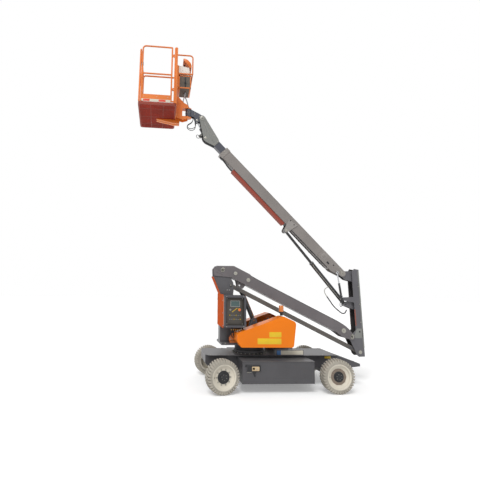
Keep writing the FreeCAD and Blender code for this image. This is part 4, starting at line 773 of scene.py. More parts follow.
class LIFT_OT_wheels(LiftPiece, bpy.types.Operator):
    """Solid tyres with shoulder lugs on dished rims, with hub flanges and wheel nuts"""

    bl_idname = "lift.wheels"
    bl_label = "Wheels"

    def build(self, sizes):
        for end in ("front", "rear"):
            for hand, side in (("left", 1), ("right", -1)):
                joint = JOINTS[f"wheel_{end}_{hand}"]
                outward = Vector(joint["axis"]).normalized()
                outward = outward if outward.y * side > 0 else -outward
                ahead = outward.cross(Z_AXIS)
                turn = Matrix((ahead, outward, ahead.cross(outward))).transposed().to_4x4()
                place = Matrix.Translation(Vector(joint["pos_m"])) @ turn
                self.tyre(f"{end}_{hand}", place, sizes)
                self.rim(f"{end}_{hand}", place, sizes, end)

    def tyre(self, name, place, sizes):
        """Rounded carcass with raised sidewall rings and two rows of chamfered lugs."""
        mesh = bmesh.new()
        half = [(0.0855, 0.1905), (0.0885, 0.202), (0.0900, 0.2125), (0.0970, 0.2150), (0.0995, 0.2180), (0.1, 0.2230)]
        half += [(0.0980, 0.2265), (0.0930, 0.2300), (0.0880, 0.2370), (0.0840, 0.2460), (0.0770, 0.2550)]
        half += [(0.066, 0.2600), (0.035, 0.2620), (0.0, 0.2625)]
        other = [(-y, r) for y, r in reversed(half[:-1])]
        turned_shape(mesh, half + other, (0, 0, 0), Y_AXIS, 72)
        section = [(0.003, 0.2825), (0.062, 0.2825), (0.084, 0.2815), (0.0985, 0.262), (0.0998, 0.232)]
        section += [(0.090, 0.226), (0.060, 0.250), (0.003, 0.256)]
        half_turn = 0.29 * math.tau / sizes.side_lugs
        for side in (1, -1):
            for i in range(sizes.side_lugs):
                middle = math.tau * (i + (0 if side > 0 else 0.5)) / sizes.side_lugs
                rings = []
                for edge in (-1, 1):
                    ring = []
                    for y, radius in section:
                        foot = 1.2 if radius < 0.27 else 1.0
                        turn = middle + edge * half_turn * foot + side * 0.03 * (0.05 - y) / 0.05
                        ring.append(mesh.verts.new((radius * math.cos(turn), side * y, radius * math.sin(turn))))
                    rings.append(ring)
                faces = [mesh.faces.new(ring) for ring in rings]
                count = len(section)
                for k in range(count):
                    n = (k + 1) % count
                    faces.append(mesh.faces.new((rings[0][k], rings[0][n], rings[1][n], rings[1][k])))
                edges = {e for ring in rings for v in ring for e in v.link_edges}
                tops = [e for e in edges if min(v.co.xz.length for v in e.verts) > 0.255]
                ease(mesh, tops, 2.5 * MM, 1)
        made = piece(f"tyre_{name}_tread", mesh, f"wheel_{name}", ["non_marking_rubber"], place, 34)
        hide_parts(f"tyre_{name}")

    def rim(self, name, place, sizes, end):
        """Dished disc rolled into its band, black hub flange, nuts and cap."""
        mesh = bmesh.new()
        dish = 0.051
        rows = [(0.0885, 0.1905), (0.0925, 0.2050), (0.0965, 0.2115), (0.0995, 0.2110), (0.1, 0.2080), (0.0985, 0.1985)]
        rows += [(0.0960, 0.1900), (0.0910, 0.1855)]
        rows += [(0.080, 0.183), (0.072, 0.1795), (0.063, 0.163), (0.055, 0.143), (0.0525, 0.136), (dish, 0.130)]
        rows += [(dish, 0.058), (0.04, 0.058), (0.04, 0.134), (0.058, 0.174), (0.045, 0.1805), (-0.084, 0.1805)]
        rows += [(-0.0910, 0.1855), (-0.0985, 0.1985), (-0.1, 0.2080), (-0.0965, 0.2115), (-0.0885, 0.1905)]
        turned_shape(mesh, rows, (0, 0, 0), Y_AXIS, 96)
        flange = [(dish - 1 * MM, 0.0), (dish - 1 * MM, 0.135), (dish + 3 * MM, 0.134), (dish + 4 * MM, 0.131)]
        flange += [(dish + 4 * MM, 0.0)]
        turned_shape(mesh, flange, (0, 0, 0), Y_AXIS, 64, 3 if end == "rear" else 0, closed=False)
        hub_round = 0.088 if end == "rear" else 0.106
        hub = [(dish, 0.0), (dish, hub_round), (dish + 9 * MM, hub_round), (dish + 13 * MM, hub_round - 0.004), (dish + 13 * MM, 0.072)]
        hub += [(dish + 17 * MM, 0.068), (dish + 17 * MM, 0.0)]
        turned_shape(mesh, hub, (0, 0, 0), Y_AXIS, 64, 1, closed=False)
        cap = [(dish, 0.0), (dish, 0.060), (0.075, 0.0585), (0.082, 0.055), (0.0845, 0.046), (0.085, 0.03), (0.085, 0.0)]
        turned_shape(mesh, cap, (0, 0, 0), Y_AXIS, 48, 1, closed=False)
        boss = [(0.039, 0.0), (0.041, 0.061), (-0.029, 0.061), (-0.03, 0.058), (-0.03, 0.0)]
        turned_shape(mesh, boss, (0, 0, 0), Y_AXIS, 40, 1, closed=False)
        nut_paint = 3 if end == "rear" else 2
        for at in circle_of(sizes.wheel_nuts, 0.1215):
            place_y = dish + 3.5 * MM
            disc(mesh, (at.x, place_y, at.y), Y_AXIS, 0.0145, 2.5 * MM, 0.6 * MM, nut_paint, 20)
            disc(mesh, (at.x, place_y + 2.5 * MM, at.y), Y_AXIS, 0.0120, 9 * MM, 0, nut_paint, 6)
            disc(mesh, (at.x, place_y + 11 * MM, at.y), Y_AXIS, 0.0065, 7 * MM, 0.8 * MM, nut_paint, 12)
        for at in circle_of(8, 0.083, 0.2):
            disc(mesh, (at.x, dish + 12.5 * MM, at.y), Y_AXIS, 0.0055, 5 * MM, 0.5 * MM, 1, 12)
        for at in circle_of(6, 0.044, 0.3):
            disc(mesh, (at.x, 0.082, at.y), Y_AXIS, 0.0045, 4 * MM, 0.5 * MM, 2, 12)
        disc(mesh, (0.158, 0.058, 0.0), (0.3, 1, 0), 0.005, 26 * MM, 1 * MM, 4, 14)
        finishes = ["wheel_enamel", "hub_black_casting", "zinc_plated_steel", "hub_brown_enamel", "black_nylon"]
        made = piece(f"rim_{name}_finished", mesh, f"wheel_{name}", finishes, place, 34)
        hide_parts(f"rim_{name}")


class LIFT_OT_turntable(LiftPiece, bpy.types.Operator):
    """Turntable with its column, front cover, cast counterweight, hoses and brackets"""

    bl_idname = "lift.turntable"
    bl_label = "Turntable"

    def build(self, sizes):

        def pedestal(place, normal):
            return 1 if place.z < 0.7195 and place.xy.length < 0.275 else 0

        dressed("turntable_frame", ["turntable_enamel", "hub_black_casting"], None, pedestal)
        dressed("counterweight", ["counterweight_casting"], 12 * MM, segments=3)
        dressed("front_cover", ["cover_enamel"], 1 * MM)
        self.fittings()
        self.hoses()

    def fittings(self):
        """Shoulder caps, face plates and bolts of the column, the orange hose bracket and the lifting eyes."""
        mesh = bmesh.new()
        foot = joint_place("lower_link_swing")
        for side in (1, -1):
            out = side * 0.0995
            for place, radius in ((SHOULDER, 0.052), (foot, 0.036)):
                disc(mesh, (place.x, out, place.z), (0, side, 0), radius, 6 * MM, 1.5 * MM)
                disc(mesh, (place.x, out + side * 5 * MM, place.z), (0, side, 0), radius * 0.6, 5 * MM, 1 * MM, 1)
                bolt(mesh, (place.x, out + side * 9 * MM, place.z), (0, side, 0), 0.016, 2)
            rim = [(0.352, 1.10), (0.372, 1.10), (0.372, 1.60), (0.352, 1.60)]
            slab(mesh, rim, *sorted((out - side * 1 * MM, out + side * 6 * MM)), 1 * MM)
            for x, z in ((0.40, 1.70), (0.44, 1.70), (0.556, 1.10), (0.556, 1.35), (0.556, 1.58)):
                bolt(mesh, (x, out, z), (0, side, 0), 0.016, 3)
            slab(mesh, oblong((0.30, 0.7455), (0.60 - 0.03, 0.758), 0.004), *sorted((side * 0.101, side * 0.27)), 2 * MM)
            for x in (-0.55, -0.2, 0.2, 0.5):
                bolt(mesh, (x, side * 0.262, 0.7455), Z_AXIS, 0.024, 2)
            block(mesh, (-0.47, side * 0.2 - 0.012, 1.129), (-0.41, side * 0.2 + 0.012, 1.165), 4 * MM)
        for z in (1.08, 1.30, 1.52):
            for y in (-0.17, 0.45):
                bolt(mesh, (0.5785, y, z), X_AXIS, 0.013, 2)
        piece(
            "column_fittings",
            mesh,
            "turntable",
            ["turntable_enamel", "black_nylon", "zinc_plated_steel", "bezel_grey"],
        )
        mesh = bmesh.new()
        shape = [(0.282, 0.789), (0.431, 0.789), (0.431, 0.850), (0.372, 0.929), (0.282, 0.929)]
        slab(mesh, rounded(shape, 0.010), 0.246, 0.252, 1.2 * MM)
        block(mesh, (0.282, 0.20, 0.7455), (0.431, 0.252, 0.7515), 1 * MM)
        block(mesh, (0.296, 0.246, 0.7455), (0.417, 0.252, 0.80), 1 * MM)
        for x, z in ((0.305, 0.90), (0.35, 0.90), (0.305, 0.82), (0.405, 0.82)):
            bolt(mesh, (x, 0.252, z), Y_AXIS, 0.013, 1)
        piece("hose_bracket", mesh, "turntable", ["orange_powder_coat", "zinc_plated_steel"])

    def hoses(self):
        """Hydraulic and electric lines between the turntable's bed and the control box."""
        mesh = bmesh.new()
        for i, x in enumerate((0.205, 0.245, 0.285, 0.325, 0.365, 0.405)):
            disc(mesh, (x, 0.36, 1.012), Z_AXIS, 0.014, 0.046, 2 * MM, 0, 24)
            disc(mesh, (x, 0.36, 0.990), Z_AXIS, 0.010, 0.024, 1 * MM, 1, 6)
        block(mesh, (0.19, 0.33, 1.036), (0.43, 0.39, 1.058), 3 * MM)
        piece("cable_glands", mesh, "turntable", ["black_nylon", "brass_fitting"])
        for i, x in enumerate((0.205, 0.245, 0.285, 0.325, 0.365, 0.405)):
            foot = 0.08 + 0.045 * i
            points = [(x, 0.36, 0.995), (x, 0.36, 0.93), (x - 0.01, 0.31, 0.87), (foot, 0.20, 0.83)]
            points += [(foot - 0.02, 0.13, 0.79), (foot - 0.03, 0.12, 0.745)]
            line(f"box_hose_{i + 1}", points, 0.014 - 0.001 * (i % 3), "turntable", "hose_rubber", "black_plastic")
        for i, y in enumerate((-0.045, -0.015, 0.015, 0.045)):
            points = [(0.30, y, 0.742), (0.30, y, 0.95), (0.42, y, 1.15), (0.44, y, 1.50), (0.46, y, 1.75)]
            points += [(0.50, y * 0.9, 1.93)]
            line(f"column_hose_{i + 1}", points, 0.016, "turntable", "hose_rubber", "black_plastic")


class LIFT_OT_controls(LiftPiece, bpy.types.Operator):
    """Ground control box with its recessed panel, display, buttons and stop button"""

    bl_idname = "lift.controls"
    bl_label = "Ground controls"

    def build(self, sizes):
        low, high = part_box("control_box")
        recess = high.y - 0.055
        inner_low = (low.x + 0.038, low.z + 0.038)
        inner_high = (high.x - 0.038, high.z - 0.038)

        # the recess's floor gets the membrane; its side walls are drawn black as painted shade
        def membrane_and_shaded_walls(place, normal):
            if abs(place.y - recess) < 1 * MM and normal.y > 0.9:
                return 1
            across = inner_low[0] - 2 * MM < place.x < inner_high[0] + 2 * MM
            upward = inner_low[1] - 2 * MM < place.z < inner_high[1] + 2 * MM
            return 2 if place.y > recess and across and upward and abs(normal.y) < 0.5 else 0

        finishes = ["grey_control_enamel", "panel_membrane", "black_nylon"]
        dressed("control_box", finishes, 3 * MM, membrane_and_shaded_walls, 3)
        mesh = bmesh.new()
        at = recess
        slab(mesh, oblong((0.225, 1.105), (0.527, 1.565), 0.012), at - 1 * MM, at + 3 * MM, 0.8 * MM)
        slab(mesh, oblong((0.280, 1.410), (0.453, 1.522), 0.008), at + 2 * MM, at + 9 * MM, 1.5 * MM, 1)
        slab(mesh, oblong((0.289, 1.419), (0.444, 1.513), 0.004), at + 8 * MM, at + 9.6 * MM, 0.3 * MM, 2)
        disc(mesh, (0.289, at + 2 * MM, 1.360), Y_AXIS, 0.026, 4 * MM, 1 * MM, 4, 40)
        disc(mesh, (0.289, at + 5 * MM, 1.360), Y_AXIS, 0.014, 12 * MM, 1 * MM, 3, 32)
        disc(mesh, (0.289, at + 15 * MM, 1.360), Y_AXIS, 0.022, 12 * MM, 5 * MM, 3, 40)
        disc(mesh, (0.455, at + 2 * MM, 1.362), Y_AXIS, 0.016, 7 * MM, 1 * MM, 5, 32)
        slab(mesh, oblong((0.452, 1.352), (0.458, 1.372), 0.002), at + 8 * MM, at + 14 * MM, 0.8 * MM, 0)
        for step in range(5):
            share = step / 4
            x = 0.405 - 0.075 * share
            z = 1.3215 + 0.055 * share
            slab(mesh, oblong((x, z), (x + 0.017, z + 0.012), 0.004), at + 2 * MM, at + 4 * MM, 0.5 * MM, 6)
        for row in (1.252, 1.183):
            for i in range(6):
                x = 0.262 + 0.0378 * i
                slab(mesh, oblong((x, row), (x + 0.027, row + 0.027), 0.009), at + 2 * MM, at + 6 * MM, 1.5 * MM, 7)
                slab(
                    mesh,
                    oblong((x + 0.006, row + 0.007), (x + 0.021, row + 0.020), 0.003),
                    at + 5.5 * MM,
                    at + 6.6 * MM,
                    0.3 * MM,
                    1 if (i + (row > 1.2)) % 3 else 6,
                )
        for x, z in ((0.236, 1.116), (0.516, 1.116), (0.236, 1.554), (0.516, 1.554)):
            bolt(mesh, (x, at + 3 * MM, z), Y_AXIS, 0.009, 5)
        finishes = ["panel_membrane", "bezel_grey", "display_glass", "stop_button_plastic", "yellow_label_film"]
        finishes += ["zinc_plated_steel", "yellow_label_film", "black_nylon"]
        piece("control_panel", mesh, "turntable", finishes)
        mesh = bmesh.new()
        for z in (low.z + 0.09, high.z - 0.09):
            disc(mesh, (high.x - 2 * MM, high.y - 0.012, z - 0.03), Z_AXIS, 0.0055, 0.06, 1 * MM, 1, 16)
            block(mesh, (high.x - 4 * MM, high.y - 0.04, z - 0.022), (high.x - 1 * MM, high.y - 0.008, z + 0.022), 1 * MM, 1)
        for x in (low.x + 0.045, high.x - 0.045):
            for z in (low.z + 0.019, high.z - 0.019):
                disc(mesh, (x, high.y - 1 * MM, z), Y_AXIS, 0.007, 2.5 * MM, 1 * MM, 1, 20)
        block(mesh, (inner_low[0], high.y - 0.012, inner_low[1] - 1 * MM), (inner_high[0], high.y - 4 * MM, inner_low[1] + 3 * MM), 1 * MM, 2)
        block(mesh, (inner_low[0], high.y - 0.012, inner_high[1] - 3 * MM), (inner_high[0], high.y - 4 * MM, inner_high[1] + 1 * MM), 1 * MM, 2)
        block(mesh, (low.x + 0.06, high.y - 0.30, high.z - 1 * MM), (high.x - 0.06, high.y - 0.03, high.z + 2.5 * MM), 1.2 * MM, 0)
        finishes = ["grey_control_enamel", "zinc_plated_steel", "hose_rubber"]
        piece("control_box_fittings", mesh, "turntable", finishes)
        mesh = bmesh.new()
        edge_x = (high.x - 1 * MM, high.x + 1.5 * MM)
        block(mesh, (edge_x[0], high.y - 0.075, low.z + 0.02), (edge_x[1], high.y - 0.045, high.z - 0.02), 0.8 * MM)
        piece("control_box_strip", mesh, "turntable", ["orange_powder_coat"])


class LIFT_OT_hoods(LiftPiece, bpy.types.Operator):
    """Moulded orange hoods with rounded edges, blank labels, latches and the beacon"""

    bl_idname = "lift.hoods"
    bl_label = "Hoods and beacon"

    def build(self, sizes):
        corners = [(0.275, 0.728), (0.352, 0.828), (0.350, 0.962), (-0.493, 1.261), (-0.720, 1.160), (-0.664, 0.728)]
        outline_2d = rounded(corners, [0.03, 0.055, 0.030, 0.060, 0.070, 0.045], 7)
        for hand, side in (("left", 1), ("right", -1)):
            mesh = bmesh.new()
            verts = [mesh.verts.new((x, side * 0.306, z)) for x, z in outline_2d]
            face = mesh.faces.new(verts)
            grown = bmesh.ops.extrude_face_region(mesh, geom=[face])["geom"]
            tops = [g for g in grown if isinstance(g, bmesh.types.BMVert)]
            bmesh.ops.translate(mesh, vec=(0, side * 0.294, 0), verts=tops)
            bmesh.ops.recalc_face_normals(mesh, faces=mesh.faces)
            mesh.edges.ensure_lookup_table()
            chosen = set(tops)
            rims = [e for v in tops for e in v.link_edges if e.other_vert(v) in chosen]
            rims = [e for e in set(rims) if max(v.co.z for v in e.verts) > 0.729]
            ease(mesh, rims, sizes.hood_edge, 6)
            for one in [f for f in mesh.faces if all(abs(v.co.y) < 0.307 for v in f.verts)]:
                mesh.faces.remove(one)
            for one in [f for f in mesh.faces if all(v.co.z < 0.729 for v in f.verts)]:
                mesh.faces.remove(one)
            bmesh.ops.recalc_face_normals(mesh, faces=mesh.faces)
            sample = max(mesh.faces, key=lambda f: f.calc_area())
            if sample.normal.y * side < 0:
                bmesh.ops.reverse_faces(mesh, faces=mesh.faces)
            bmesh.ops.solidify(mesh, geom=mesh.faces, thickness=5 * MM)
            hinge = side * 0.57
            tie = sorted((hinge, side * 0.597))
            block(mesh, (-0.625, hinge - 0.025, 0.722), (-0.575, hinge + 0.025, 0.735), 1 * MM, 1)
            block(mesh, (-0.618, tie[0], 0.722), (-0.54, tie[1], 0.735), 1 * MM, 1)
            finishes = ["hood_gel_coat", "chassis_enamel"]
            made = piece(f"hood_{hand}_shell", mesh, f"hood_{hand}", finishes, smooth=50)
            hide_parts(f"hood_{hand}")
            self.trim(hand, side)
        self.beacon()

    def trim(self, hand, side):
        """The two blank labels and the rubber seal along the lower edge."""
        mesh = bmesh.new()
        face = side * 0.6
        skin = sorted((face - side * 0.5 * MM, face + side * 0.8 * MM))
        slab(mesh, oblong((-0.439, 0.785), (-0.012, 0.884), 0.010), *skin, 0.3 * MM)
        slab(mesh, oblong((-0.441, 0.901), (-0.223, 0.992), 0.010), *skin, 0.3 * MM)
        seal = sorted((face - side * 44 * MM, face - side * 38 * MM))
        block(mesh, (-0.60, seal[0], 0.7235), (0.26, seal[1], 0.730), 1 * MM, 1)
        finishes = ["yellow_label_film", "black_nylon"]
        piece(f"hood_{hand}_trim", mesh, f"hood_{hand}", finishes)

    def beacon(self):
        """A ribbed amber lens on its black foot."""
        dressed("beacon_base", ["black_nylon"], 2 * MM)
        low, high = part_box("beacon_lens")
        middle = (low + high) / 2
        radius = (high.x - low.x) / 2
        tall = high.z - low.z
        rows = [(0.0, 0.0), (0.0, radius), (0.006, radius)]
        for i in range(12):
            z = 0.008 + (tall - 0.030) * i / 12
            rows += [(z, radius - 0.9 * MM), (z + 0.002, radius - 0.1 * MM), (z + 0.004, radius - 0.1 * MM)]
        rows += [(tall - 0.012, radius - 0.5 * MM), (tall - 0.005, radius * 0.95), (tall - 0.001, radius * 0.84)]
        rows += [(tall, radius * 0.6), (tall, 0.0)]
        mesh = bmesh.new()
        turned_shape(mesh, rows, (middle.x, middle.y, low.z), Z_AXIS, 48, closed=False)
        made = piece("beacon_ribbed_lens", mesh, "hood_left", ["amber_lens"], smooth=60)
        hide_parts("beacon_lens")


class LIFT_OT_lower_boom(LiftPiece, bpy.types.Operator):
    """Lower boom with its nose ribs, bosses and pins, the link bars and the lift cylinder"""

    bl_idname = "lift.lower_boom"
    bl_label = "Lower boom"

    def build(self, sizes):
        dressed("lower_boom", ["lower_boom_enamel"])
        dressed("lower_link", ["link_enamel"], sizes.edge)
        dressed("lift_cylinder", ["cylinder_black_enamel"], 1.5 * MM)
        repainted(["lift_rod"], "hard_chrome_rod")
        mesh = bmesh.new()
        for side in (1, -1):
            face = side * 0.1175
            rib = sorted((face, side * 0.1225))
            for n in (-0.082, -0.034):
                slab(mesh, oblong((-0.039, n), (0.081, n + 0.014), 0.005), *rib, 1.5 * MM, 0, LOWER)
            for s, n, radius in ((-0.25, 0.058, 0.034), (-0.526, 0.058, 0.036), (-2.608, 0.037, 0.044)):
                at = LOWER @ Vector((s, side * 0.1225, n))
                disc(mesh, at, (0, side, 0), radius, 1.6 * MM, 0.6 * MM, 1, 36)
                bolt(mesh, at, (0, side, 0), 0.019, 1)
            for s, n in ((0.0, 0.0), (-2.807, 0.0)):
                at = LOWER @ Vector((s, side * 0.1185, n))
                disc(mesh, at, (0, side, 0), 0.036, 5.5 * MM, 1.5 * MM, 1, 40)
                keeper = LOWER @ Matrix.Translation((s - 0.015, 0, n + 0.042))
                slab(mesh, oblong((-0.012, -0.010), (0.044, 0.010), 0.005), *sorted((face, side * 0.1225)), 1 * MM, 1, keeper)
                bolt(mesh, keeper @ Vector((0.0, side * 0.1215, 0.0)), (0, side, 0), 0.012, 1)
                bolt(mesh, keeper @ Vector((0.032, side * 0.1215, 0.0)), (0, side, 0), 0.012, 1)
            bead = sorted((side * 0.1165, side * 0.1195))
            for low, high in (((-2.45, -0.050), (-0.21, -0.0455)), ((-2.53, 0.1355), (-0.62, 0.140))):
                slab(mesh, oblong(low, high, 0.002), *bead, 1 * MM, 0, LOWER)
        for s in (-2.30, -1.85, -1.40, -0.95):
            at = LOWER @ Matrix.Translation((s, 0, 0.143))
            block(mesh, (-0.011, -0.052, -0.001), (0.011, 0.052, 0.006), 1.5 * MM, 2, at)
            for y in (-0.038, 0.038):
                bolt(mesh, at @ Vector((0, y, 0.006)), LOWER.to_3x3() @ Z_AXIS, 0.010, 1)
        finishes = ["lower_boom_enamel", "zinc_plated_steel", "black_nylon"]
        piece("lower_boom_fittings", mesh, "lower_boom", finishes)
        for i, y in enumerate((-0.034, -0.012, 0.012, 0.034)):
            points = [LOWER @ Vector((s, y, n)) for s, n in ((-0.50, 0.166), (-0.60, 0.155), (-0.95, 0.153))]
            points += [LOWER @ Vector((s, y, 0.153)) for s in (-1.4, -1.85, -2.3)]
            points += [LOWER @ Vector((s, y, n)) for s, n in ((-2.55, 0.153), (-2.68, 0.130))]
            line(f"lower_boom_hose_{i + 1}", points, sizes.hose, "lower_boom", "hose_rubber", "boom_grey")
        mesh = bmesh.new()
        for side in (1, -1):
            for s in (-0.16, -2.62):
                at = LINK @ Matrix.Translation((s, 0, 0))
                bar = sorted((side * 0.0795, side * 0.083))
                slab(mesh, oblong((-0.05, -0.022), (0.05, 0.022), 0.008), *bar, 1 * MM, 0, at)
            for s in (0.0, -2.807):
                at = LINK @ Vector((s, side * 0.0795, 0))
                disc(mesh, at, (0, side, 0), 0.030, 4 * MM, 1 * MM, 1, 32)
        piece("lower_link_fittings", mesh, "lower_link", ["chassis_enamel", "zinc_plated_steel"])
        self.lift_cylinder()

    def lift_cylinder(self):
        """Gland ring, ports and the rigid brass pipe of the lift cylinder."""
        mesh = bmesh.new()
        along = LIFT.to_3x3() @ X_AXIS
        disc(mesh, LIFT @ Vector((0.566, 0, 0)), along, 0.0505, 0.010, 2 * MM, 0, 48)
        disc(mesh, LIFT @ Vector((0.592, 0, 0)), along, 0.0505, 0.006, 2 * MM, 0, 48)
        for s in (0.11, 0.555):
            port = LIFT @ Matrix.Translation((s, 0.038, 0.018))
            block(mesh, (-0.016, -0.004, -0.012), (0.016, 0.014, 0.012), 2 * MM, 0, port)
            disc(mesh, port @ Vector((0, 0.013, 0)), Y_AXIS, 0.009, 0.010, 0, 1, 6)
        for side in (1, -1):
            bolt(mesh, LIFT @ Vector((0, side * 0.0535, 0)), (0, side, 0), 0.017, 1)
        finishes = ["cylinder_black_enamel", "brass_fitting"]
        piece("lift_cylinder_fittings", mesh, "lift_cylinder", finishes)
        pipe = [(0.11, 0.058, 0.018), (0.11, 0.066, 0.020), (0.16, 0.066, 0.026), (0.34, 0.066, 0.026)]
        pipe += [(0.51, 0.066, 0.026), (0.555, 0.066, 0.020), (0.555, 0.058, 0.018)]
        line("lift_cylinder_pipe", pipe, 0.009, "lift_cylinder", "copper_pipe", "black_paint", LIFT)


class LIFT_OT_upright(LiftPiece, bpy.types.Operator):
    """Rear upright with its flange strips and gussets, and both upper cylinders"""

    bl_idname = "lift.upright"
    bl_label = "Rear upright"

    def build(self, sizes):

        # the outer side faces and the inner faces get darker copies of the enamel, painted shade
        def sides_in_painted_shade(place, normal):
            if abs(normal.y) < 0.9:
                return 0
            return 1 if place.y * normal.y > 0 else 2

        finishes = ["lower_boom_enamel", "flange_enamel", "inner_grey_enamel"]
        dressed("rear_upright", finishes, None, sides_in_painted_shade)
        dressed("luff_cylinder", ["cylinder_black_enamel"], 1.5 * MM)
        dressed("level_cylinder", ["cylinder_black_enamel"], 1 * MM)
        # the luff rod is drawn black, a painted shade on its chrome
        repainted(["luff_rod"], "nitrided_rod")
        repainted(["level_rod"], "hard_chrome_rod")
        mesh = bmesh.new()
        for side in (1, -1):
            skin = sorted((side * 0.0995, side * 0.1035))
            strip = [(-0.249, -0.20), (-0.222, -0.20), (-0.178, 1.26), (-0.2035, 1.27)]
            slab(mesh, rounded(strip, 0.004), *skin, 1 * MM, 1, UPRIGHT)
            gusset = [(-0.228, -0.02), (-0.060, -0.02), (-0.060, 0.05), (-0.110, 0.16), (-0.222, 0.16)]
            slab(mesh, rounded(gusset, 0.012), *skin, 1.2 * MM, 1, UPRIGHT)
            disc(mesh, UPRIGHT @ Vector((-0.165, side * 0.1025, 0.10)), (0, side, 0), 0.016, 1.5 * MM, 0.5 * MM, 4, 28)
            face = side * 0.0995
            for x, z, radius in ((0.0, 0.0, 0.044), (-0.16, -0.28, 0.034)):
                at = UPRIGHT @ Vector((x, face, z))
                disc(mesh, at, (0, side, 0), radius, 5 * MM, 1.5 * MM, 2, 40)
                bolt(mesh, at + Vector((0, side * 5 * MM, 0)), (0, side, 0), 0.018, 2)
            red = [(-0.106, 0.215), (-0.088, 0.215), (-0.079, 0.52), (-0.097, 0.52)]
            slab(mesh, rounded(red, 0.004), *sorted((face, side * 0.1025)), 1 * MM, 3, UPRIGHT)
            for z in (0.28, 0.62, 0.96):
                bolt(mesh, UPRIGHT @ Vector((-0.205 + z * 0.031, side * 0.1035, z)), (0, side, 0), 0.013, 2)
        finishes = ["lower_boom_enamel", "nose_enamel", "zinc_plated_steel", "primer_strip", "black_nylon"]
        piece("upright_fittings", mesh, "rear_upright", finishes)
        for i, y in enumerate((-0.06, -0.03, 0.03, 0.06)):
            rows = ((-0.14, -0.18), (-0.185, 0.05), (-0.172, 0.5), (-0.158, 0.9), (-0.13, 1.15), (-0.06, 1.23))
            points = [(x, y, z) for x, z in rows]
            line(f"upright_hose_{i + 1}", points, sizes.hose, "rear_upright", "hose_rubber", "boom_grey", UPRIGHT)
        self.luff()
        self.level()

    def luff(self):
        """Gland, ports and pipe of the upper boom's cylinder."""
        mesh = bmesh.new()
        along = LUFF.to_3x3() @ X_AXIS
        for s, paint in ((1.004, 0), (1.030, 2)):
            disc(mesh, LUFF @ Vector((s, 0, 0)), along, 0.0455, 0.008, 2 * MM, paint, 48)
        disc(mesh, LUFF @ Vector((0.07, 0, 0)), along, 0.0435, 0.010, 2 * MM, 0, 48)
        for s in (0.12, 0.985):
            port = LUFF @ Matrix.Translation((s, 0.034, -0.014))
            block(mesh, (-0.015, -0.004, -0.011), (0.015, 0.014, 0.011), 2 * MM, 0, port)
            disc(mesh, port @ Vector((0, 0.013, 0)), Y_AXIS, 0.008, 0.010, 0, 1, 6)
        finishes = ["cylinder_black_enamel", "brass_fitting", "bezel_grey"]
        piece("luff_cylinder_fittings", mesh, "luff_cylinder", finishes)
        pipe = [(0.12, 0.054, -0.014), (0.12, 0.060, -0.018), (0.17, 0.060, -0.030), (0.55, 0.060, -0.030)]
        pipe += [(0.93, 0.060, -0.030), (0.985, 0.060, -0.018), (0.985, 0.054, -0.014)]
        line("luff_cylinder_pipe", pipe, 0.010, "luff_cylinder", "zinc_plated_steel", "black_paint", LUFF)

        hose = [(0.47, 0.05, -0.045), (0.50, 0.06, -0.12), (0.465, 0.07, -0.195), (0.36, 0.07, -0.205)]
        line("luff_foot_pipe", hose, 0.014, "luff_cylinder", "zinc_plated_steel", "black_paint", LUFF)
        hose = [(0.36, 0.07, -0.205), (0.26, 0.07, -0.213), (0.13, 0.07, -0.225), (0.0, 0.065, -0.20)]
        hose += [(-0.09, 0.055, -0.175), (-0.125, 0.04, -0.11), (-0.10, 0.02, -0.05)]
        line("luff_foot_hose", hose, 0.022, "luff_cylinder", "hose_rubber", "black_paint", LUFF)

    def level(self):
        """Fittings of the levelling cylinder and the black hose loop below it."""
        low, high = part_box("level_cylinder")
        place = slanted(joint_place("level_cylinder_tilt"), slide_slant("level_rod_stroke"))
        mesh = bmesh.new()
        for s in (0.06, 0.27):
            disc(mesh, place @ Vector((s, 0.018, 0)), Y_AXIS, 0.008, 0.012, 1 * MM, 1, 6)
            disc(mesh, place @ Vector((s, 0.028, 0)), Y_AXIS, 0.006, 0.008, 1 * MM, 1, 16)
        disc(mesh, place @ Vector((0.288, 0, 0)), place.to_3x3() @ X_AXIS, 0.0225, 0.012, 1.5 * MM, 0, 32)
        piece("level_cylinder_fittings", mesh, "level_cylinder", ["cylinder_black_enamel", "bezel_grey"])
        points = [(0.06, 0.036, 0), (0.058, 0.068, -0.004), (0.02, 0.084, -0.035), (-0.05, 0.078, -0.078)]
        points += [(-0.12, 0.055, -0.086), (-0.150, 0.025, -0.050), (-0.105, 0.006, -0.010), (-0.014, 0.004, -0.004)]
        made = line("level_hose", points, 0.012, "level_cylinder", "hose_rubber", "black_paint", place)


